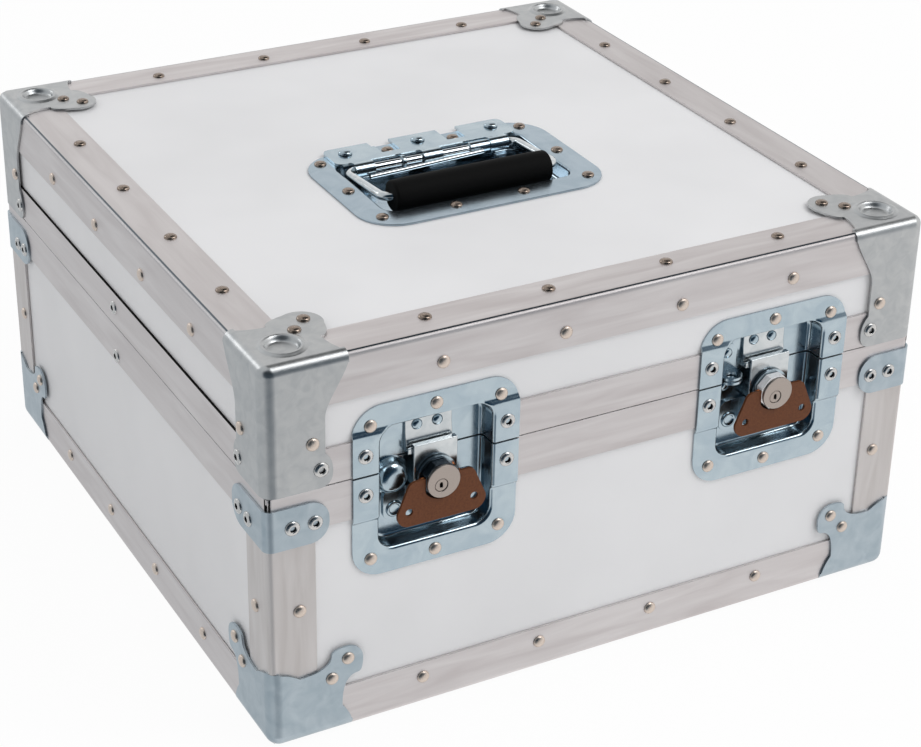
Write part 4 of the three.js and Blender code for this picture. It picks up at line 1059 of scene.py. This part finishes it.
# %% Barrels and key plugs
face_y = front - 6.3 * MM
drum_y = front - 4.5 * MM
plug_dx, plug_dz, plug_radius = -1.5 * MM, -2 * MM, 3.8 * MM
# The two drums are one plating, painted dark and bright: painted reflections.
drum_painted_reflection = {"left": drum_painted_dark, "right": drum_painted_bright}


def key_bore(lock_x):
    return round_bar("bore", on_front, (lock_x + plug_dx, lock_z + plug_dz), plug_radius + 0.25 * MM,
                     face_y - MM, face_y + 5 * MM)


def make_barrel(side, lock_x):
    centre = (lock_x, lock_z)
    drum = round_bar(f"latch_{side}_barrel_drum", on_front, centre, 11 * MM, drum_y, front + 1.2 * MM, 8)
    drum.data.transform(Matrix.Translation((lock_x, 0, lock_z)) @ Matrix.Rotation(math.pi / 8, 4, "Y")
                        @ Matrix.Translation((-lock_x, 0, -lock_z)))
    weld(drum, round_bar("shaft", on_front, centre, 6.4 * MM, front + MM, front + 3.5 * MM))
    axle_ends = (lock_x - 12.3 * MM, lock_x + 12.3 * MM)
    weld(drum, round_bar("axle", on_side, (front - 2.4 * MM, lock_z), 1.5 * MM, *axle_ends, 16))
    cut(drum, key_bore(lock_x))
    soften(drum, 0.35, edge_angle=30, smooth_angle=20)
    finish_piece(drum, drum_painted_reflection[side], f"{side}_barrel", f"latch_{side}_barrel", slot="chrome")
    face = round_bar(f"latch_{side}_barrel_face", on_front, centre, 10.1 * MM,
                     face_y, drum_y + 0.1 * MM, 64)
    cut(face, key_bore(lock_x))
    finish_piece(soften(face, 0.3, segments=3), nickel, f"{side}_barrel", slot="chrome")


def make_plug(side, lock_x):
    x, z, y = lock_x + plug_dx, lock_z + plug_dz, face_y + 0.3 * MM
    plug = round_bar(f"latch_{side}_key_plug_face", on_front, (x, z), plug_radius, y, y + 4.4 * MM)
    key_hole = rounded(x - 0.9 * MM, x + 0.9 * MM, z - 1.7 * MM, z + 1.7 * MM, 0.85 * MM, 5)
    cut(plug, slab("key_hole", key_hole, on_front, y - MM, y + 2.4 * MM))
    soften(plug, 0.3, segments=3)
    finish_piece(plug, nickel, f"{side}_key_plug", f"latch_{side}_key_plug", slot="lock_face")
    # Painted shade: the keyhole is black.
    recolour(plug, dark, lambda face: abs(face.center.x - x) < 1.1 * MM
             and abs(face.center.z - z) < 1.9 * MM and face.center.y > y + 0.1 * MM)


# %% Wings
wing_y, wing_back = front - 4.2 * MM, front - 2.6 * MM


def wing_outline():
    lobe, lobe_radius, shoulder, shoulder_radius = (20.2, -17.4), 7.3, (16.2, -2), 5
    notch, inner = 11.8, 10.4
    lean = math.degrees(math.atan2(lobe[0] - shoulder[0], shoulder[1] - lobe[1]))
    notch_end = math.degrees(math.acos(inner / notch))
    half = arc(lobe, lobe_radius, -90, lean, 14) + arc(shoulder, shoulder_radius, lean, 90, 10)
    half += [(inner, shoulder[1] + shoulder_radius)] + arc((0, 0), notch, -notch_end, -90, 12)
    return half + [(-x, z) for x, z in reversed(half[:-1])]


def make_wing(side, lock_x):
    outline = [(lock_x + x * MM, lock_z + z * MM) for x, z in wing_outline()]
    wing = slab(f"latch_{side}_wing_plate", outline, on_front, wing_y, wing_back)
    for sign in (-1, 1):
        ear = rounded(wing_y, front + 0.2 * MM, lock_z - 3 * MM, lock_z + 3 * MM, 2 * MM, 4)
        weld(wing, slab("ear", ear, on_side, *sorted((lock_x + sign * 10.4 * MM, lock_x + sign * 12 * MM))))
        centre = (lock_x + sign * 20.2 * MM, lock_z - 15.6 * MM)
        cut(wing, round_bar("hole", on_front, centre, 2.3 * MM, front - 9 * MM, front + 9 * MM, 24))
    soften(wing, 0.35, segments=3, edge_angle=50)
    finish_piece(wing, lacquer, f"{side}_wing", f"latch_{side}_wing", slot="bronze_paint")
    # Copper round the axle, made bright: a copper edge with a painted glint.
    recolour(wing, copper, lambda face: abs(face.center.z - lock_z) < 3.3 * MM
             and abs(face.center.x - lock_x) < 12.5 * MM and face.normal.y > -0.9)


for side, sign in catches:
    for make in (make_barrel, make_plug, make_wing):
        make(side, sign * catch_x + lock_dx)
print("catches:", len(catches))

# %% [markdown]
# The handle's dish is drawn like the catch dishes, and a thick strap is riveted over its back
# edge. The strap is curled into three lugs, and the bail's straight side turns in them.

# %% Handle dish
pan_low, pan_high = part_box("handle_dish")
pan_x, pan_y = (pan_low.x + pan_high.x) / 2, (pan_low.y + pan_high.y) / 2
pan_z = pan_high.z
pan_opening = (pan_x - 64 * MM, pan_x + 64 * MM, pan_y - 35.8 * MM, pan_y + 39 * MM, 8 * MM)
pan_flange = rounded(pan_low.x, pan_high.x, pan_low.y, pan_high.y, 25 * MM)
pan = drawn_dish("handle_dish_sheet", on_top, pan_flange, pan_opening, pan_z, pan_low.z + dish_sheet,
                 roll=1.8 * MM, bend=2.6 * MM, steps=4)
run_modifier(pan, "SOLIDIFY", thickness=dish_sheet, offset=-1, use_even_offset=True)
soften(pan, 0.3, edge_angle=50, smooth_angle=30)
# The handle's dish takes the darker zinc copy: painted shade.
finish_piece(pan, zinc_painted_shade, "lid", "handle_dish")

strap = merged_copy("handle_strap_plate", "handle_strap")
for x in (-25.5 * MM, 20.6 * MM):
    notch = rounded(x - 6.4 * MM, x + 6.4 * MM, middle_y + 11.5 * MM, middle_y + 40 * MM, 1 * MM, 3)
    cut(strap, slab("notch", notch, on_top, pan_z - 5 * MM, pan_z + 9 * MM))
finish_piece(soften(strap, 0.35), zinc, "lid", "handle_strap")
strap_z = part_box("handle_strap")[1].z
pan_rivets = ((-72.7, 15), (-25.5, 17), (20.6, 17), (68, 15), (-72.7, -71), (-25.5, -74.8), (20.6, -74.8),
              (68, -71), (-74.6, -29), (70.4, -29))
strap_rivets = ((-53.6, 19.4), (-3.1, 19.4), (49.4, 19.4))
# The handle dish rivets take the darker rivet steel: painted shade.
for name, rivet, z, places in (("handle_dish_rivets", shaded_rivet, pan_z, pan_rivets),
                               ("handle_strap_rivets", big_rivet, strap_z, strap_rivets)):
    set_rivets(name, rivet, "lid", [("top", (x * MM, middle_y + y * MM, z)) for x, y in places])

# %% [markdown]
# The bail is one chromed rod, bent round and closed through the grip. A tube is lofted along
# its path ring by ring: a rounded rectangle, tilted a little so that the grip lies higher than
# the axle. The return spring shows as a sleeve and a collar round the axle and one straight leg
# beside it, which stay on the lid.

# %% Tubes along a path
def tube(name, path, sideways, radius, sides=12, closed=False):
    rings = []
    count = len(path)
    for i, point in enumerate(path):
        before = path[(i - 1) % count] if closed or i else point
        after = path[(i + 1) % count] if closed or i < count - 1 else point
        along = (after - before).normalized()
        across_one = (sideways - along * sideways.dot(along)).normalized()
        across_two = along.cross(across_one)
        rings.append([point + radius * (math.cos(t) * across_one + math.sin(t) * across_two)
                      for t in (2 * math.pi * k / sides for k in range(sides))])
    if closed:
        rings.append([point.copy() for point in rings[0]])
    return smooth(loft(name, rings, open_start=closed, open_end=closed), 60)


# %% Bail, grip and spring
bail_low, bail_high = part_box("handle_bail")
grip_low, grip_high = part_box("handle_grip")
rod = 2.8 * MM
axle_y, axle_z = bail_high.y - rod, bail_low.z + rod
grip_y, grip_z = (grip_low.y + grip_high.y) / 2, (grip_low.z + grip_high.z) / 2


def make_bail():
    slope = Vector((0, grip_y - axle_y, grip_z - axle_z))
    flat = rounded(bail_low.x + rod, bail_high.x - rod, 0, slope.length, 7 * MM, 6)
    along = slope.normalized()
    path = [Vector((x, axle_y, axle_z)) + along * v for x, v in flat]
    bail = tube("handle_bail_rod", path, Vector((1, 0, 0)).cross(along), rod, 16, closed=True)
    finish_piece(bail, chrome, "handle", "handle_bail", slot="chrome")


def make_turned(name, centre, profile):
    return smooth(loft(name, [on_side(circle(centre, r), x) for x, r in profile]), 50)


def make_grip():
    radius, shoulder, set_back, end_gap = (grip_high.z - grip_low.z) / 2, 1.8 * MM, 1.5 * MM, 2.6 * MM
    neck = radius - 2.2 * MM
    profile = [(grip_low.x, rod + 0.2 * MM), (grip_low.x, neck)]
    profile += [(grip_low.x + shoulder * (1 - math.cos(t)), neck + shoulder * math.sin(t))
                for t in (math.radians(turn) for turn in (20, 40, 60, 80))]
    profile += [(grip_low.x + 9 * MM, radius - 0.12 * MM), (pan_x, radius)]
    profile = [(x + set_back, r) for x, r in profile]
    mirrored = [(2 * pan_x - x - end_gap, r) for x, r in reversed(profile[:-1])]
    grip = make_turned("handle_grip_moulding", (grip_y, grip_z), profile + mirrored)
    finish_piece(grip, rubber, "handle", "handle_grip", slot="rubber")


def make_sleeve(name, x0, x1, radius=4.1 * MM, edge=0.5 * MM):
    profile = ((x0, radius - edge), (x0 + edge, radius), (x1 - edge, radius), (x1, radius - edge))
    finish_piece(make_turned(name, (axle_y, axle_z), profile), zinc, "lid")


def make_spring_leg():
    path = [Vector((x * MM, axle_y - 6 * MM, axle_z + z * MM))
            for x, z in ((-48, -3.2), (-20, -2.4), (6, -1.4), (31, -0.6))]
    finish_piece(tube("handle_spring_leg", path, Vector((0, 1, 0)), 1.5 * MM), chrome, "lid", slot="chrome")


make_bail()
make_grip()
make_spring_leg()
make_sleeve("handle_spring_sleeve", 23.5 * MM, 41.5 * MM)
make_sleeve("handle_axle_collar", -24.2 * MM, -21.2 * MM)
print("handle pieces: 5")

# %% [markdown]
# The hinges at the back are pressed leaves rolled round a pin. Their solids are right, so the
# copies only get soft edges, and each leaf is held by three rivets.

# %% Hinges
for side, _ in x_sides:
    for body, level in (("base", -1), ("lid", 1)):
        node = f"hinge_{side}_{body}_leaf"
        finish_piece(soften(merged_copy(node + "_plate", node), 0.3), zinc_satin, body, node)
        low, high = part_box(node)
        middle_x, rivet_z = (low.x + high.x) / 2, parting + level * 14.5 * MM
        set_rivets(f"hinge_{side}_{body}_rivets", pop_rivet, body,
                   [("back", (middle_x + x * MM, back + 1.7 * MM, rivet_z)) for x in (-23, 0, 23)])

# %% [markdown]
# The foam is soft: a slab cut with a hot wire, a little proud in the middle and rounded at its
# edges where it is pressed against the walls. The lid pad has a well for the handle's dish.

# %% Foam pads
for body in ("base", "lid"):
    pad = merged_copy(f"{body}_foam", f"{body}_foam_pad")
    edit_all(pad)
    bpy.ops.mesh.bevel(offset=2.5 * MM, segments=3, affect="EDGES")
    to_mode("OBJECT")
    smooth(pad, 35)
    finish_piece(pad, foam, body, f"{body}_foam_pad", slot="foam")
for pattern in (solid_rivet, shaded_rivet, pop_rivet, ring_rivet, small_rivet, big_rivet):
    bpy.data.objects.remove(pattern)
print("foam pads: 2")

# %% [markdown]
# The case stands on a pale floor in soft studio light. The world lights it evenly; a large
# lamp from above gives the top its brightness and draws the bright line along each bend, and a
# smaller one behind shows in mirrors alone. Mirror rays see the world as a studio: white, with
# a dark patch where the photographer stands, a little left of the camera, and a small dark gap
# overhead. Without them bright zinc shows nothing but white.

# %% Floor and light
def make_floor():
    deselect()
    bpy.ops.mesh.primitive_circle_add(vertices=96, radius=6.0, fill_type="NGON")
    floor = bpy.context.object
    floor.name = "studio_floor"
    material, tree, shader, _ = start_finish("pale_paper_floor", roughness=0.9)
    shader.inputs["Base Color"].default_value = linear("f2f2f2")
    glow = add_node(tree, "Emission", "Emission", {"Color": "ffffff", "Strength": 1.0})
    camera_ray = add_node(tree, "LightPath", "Is Camera Ray")
    seen = add_node(tree, "Math", "Value", {0: camera_ray, 1: 0.95}, operation="MULTIPLY")
    look = mix_shaders(tree, seen, shader.outputs["BSDF"], glow)
    tree.links.new(look, tree.nodes["Material Output"].inputs["Surface"])
    floor.data.materials.append(material)
    floor.visible_glossy = False


photographer_way, gap_way = (-0.381, -0.821, 0.426), (0.42, 0.22, 0.88)
photographer_stops = ((0.0, "ffffff"), (0.3, "fdfdfd"), (0.46, "f4f5f6"), (0.52, "8a9ba6"),
                      (0.57, "2c4a60"), (0.68, "1d3c50"), (0.9, "162c3a"), (1.0, "13222c"))


def make_world():
    world = bpy.data.worlds.new("studio")
    bpy.context.scene.world = world
    world.use_nodes = True
    tree = world.node_tree
    tree.nodes.clear()
    direction = add_node(tree, "TexCoord", "Generated")

    def along(axis, start, end):
        return spread(tree, add_node(tree, "SeparateXYZ", axis, {"Vector": direction}), start, end)

    def nearness(way):
        return add_node(tree, "VectorMath", "Value", {0: direction, 1: way}, operation="DOT_PRODUCT")

    def background(colour, strength=1.0):
        return add_node(tree, "Background", "Background", {"Color": colour, "Strength": strength})

    in_front = ramp(tree, nearness(photographer_way), photographer_stops)
    behind = ramp(tree, along("X", -0.45, 0.25), ((0.0, "d6dadd"), (1.0, "fafafa")))
    studio = mix_colours(tree, along("Y", -0.1, -0.45), behind, in_front)
    studio = mix_colours(tree, spread(tree, nearness(gap_way), 0.87, 0.94), studio, "20262a")
    in_mirrors = add_node(tree, "LightPath", "Is Glossy Ray")
    lit = mix_shaders(tree, in_mirrors, background("fafafb", 0.76), background(studio))
    look = mix_shaders(tree, add_node(tree, "LightPath", "Is Camera Ray"), lit, background("ffffff"))
    tree.links.new(look, tree.nodes.new("ShaderNodeOutputWorld").inputs["Surface"])


def add_lamp(name, place, aim, size, power):
    lamp = bpy.data.lights.new(name, "AREA")
    lamp.shape = "SQUARE"
    lamp.size = size
    lamp.energy = power
    stand = bpy.data.objects.new(name, lamp)
    stand.location = place
    stand.rotation_euler = (Vector(aim) - Vector(place)).to_track_quat("-Z", "Y").to_euler()
    bpy.context.scene.collection.objects.link(stand)
    return stand


make_floor()
make_world()
lamp_aim = (0, 0, 0.1)
add_lamp("key_softbox", (1.0, -1.1, 2.0), lamp_aim, size=1.2, power=18)
add_lamp("edge_softbox", (-1.5, 2.3, 1.5), lamp_aim, size=0.9, power=6).visible_diffuse = False

# %% [markdown]
# The camera stands where the photograph was taken from. Its place, turn and lens were worked
# out from the straight edges of the case, which are known in all three directions.

# %% Camera
photo_width, photo_height, sensor_width = 921, 747, 36
lens_pixels, centre_pixels = 2271.77, (461.807, 357.364)
turn, rise, roll = (math.radians(angle) for angle in (-28.677, 28.245, 1.085))
distance = 1502.82 * MM
aim = Vector((22.514, 2.673 - 1.75, 88.75 + 1.4)) * MM

backward = Vector((math.sin(turn) * math.cos(rise), -math.cos(turn) * math.cos(rise), math.sin(rise)))
level_right = Vector((math.cos(turn), math.sin(turn), 0))
level_up = backward.cross(level_right)
right_way = math.cos(roll) * level_right + math.sin(roll) * level_up
up_way = -math.sin(roll) * level_right + math.cos(roll) * level_up
facing_aim = Matrix((right_way, up_way, backward)).transposed().to_4x4()
lens = bpy.data.cameras.new("photo_camera")
lens.sensor_width = sensor_width
lens.lens = sensor_width * lens_pixels / photo_width
lens.shift_x = -(centre_pixels[0] - photo_width / 2) / photo_width
lens.shift_y = (centre_pixels[1] - photo_height / 2) / photo_width
lens.clip_end = 50
camera = bpy.data.objects.new("photo_camera", lens)
camera.matrix_world = Matrix.Translation(aim + backward * distance) @ facing_aim
bpy.context.scene.collection.objects.link(camera)
bpy.context.scene.camera = camera
bpy.context.scene.view_settings.view_transform = "Standard"
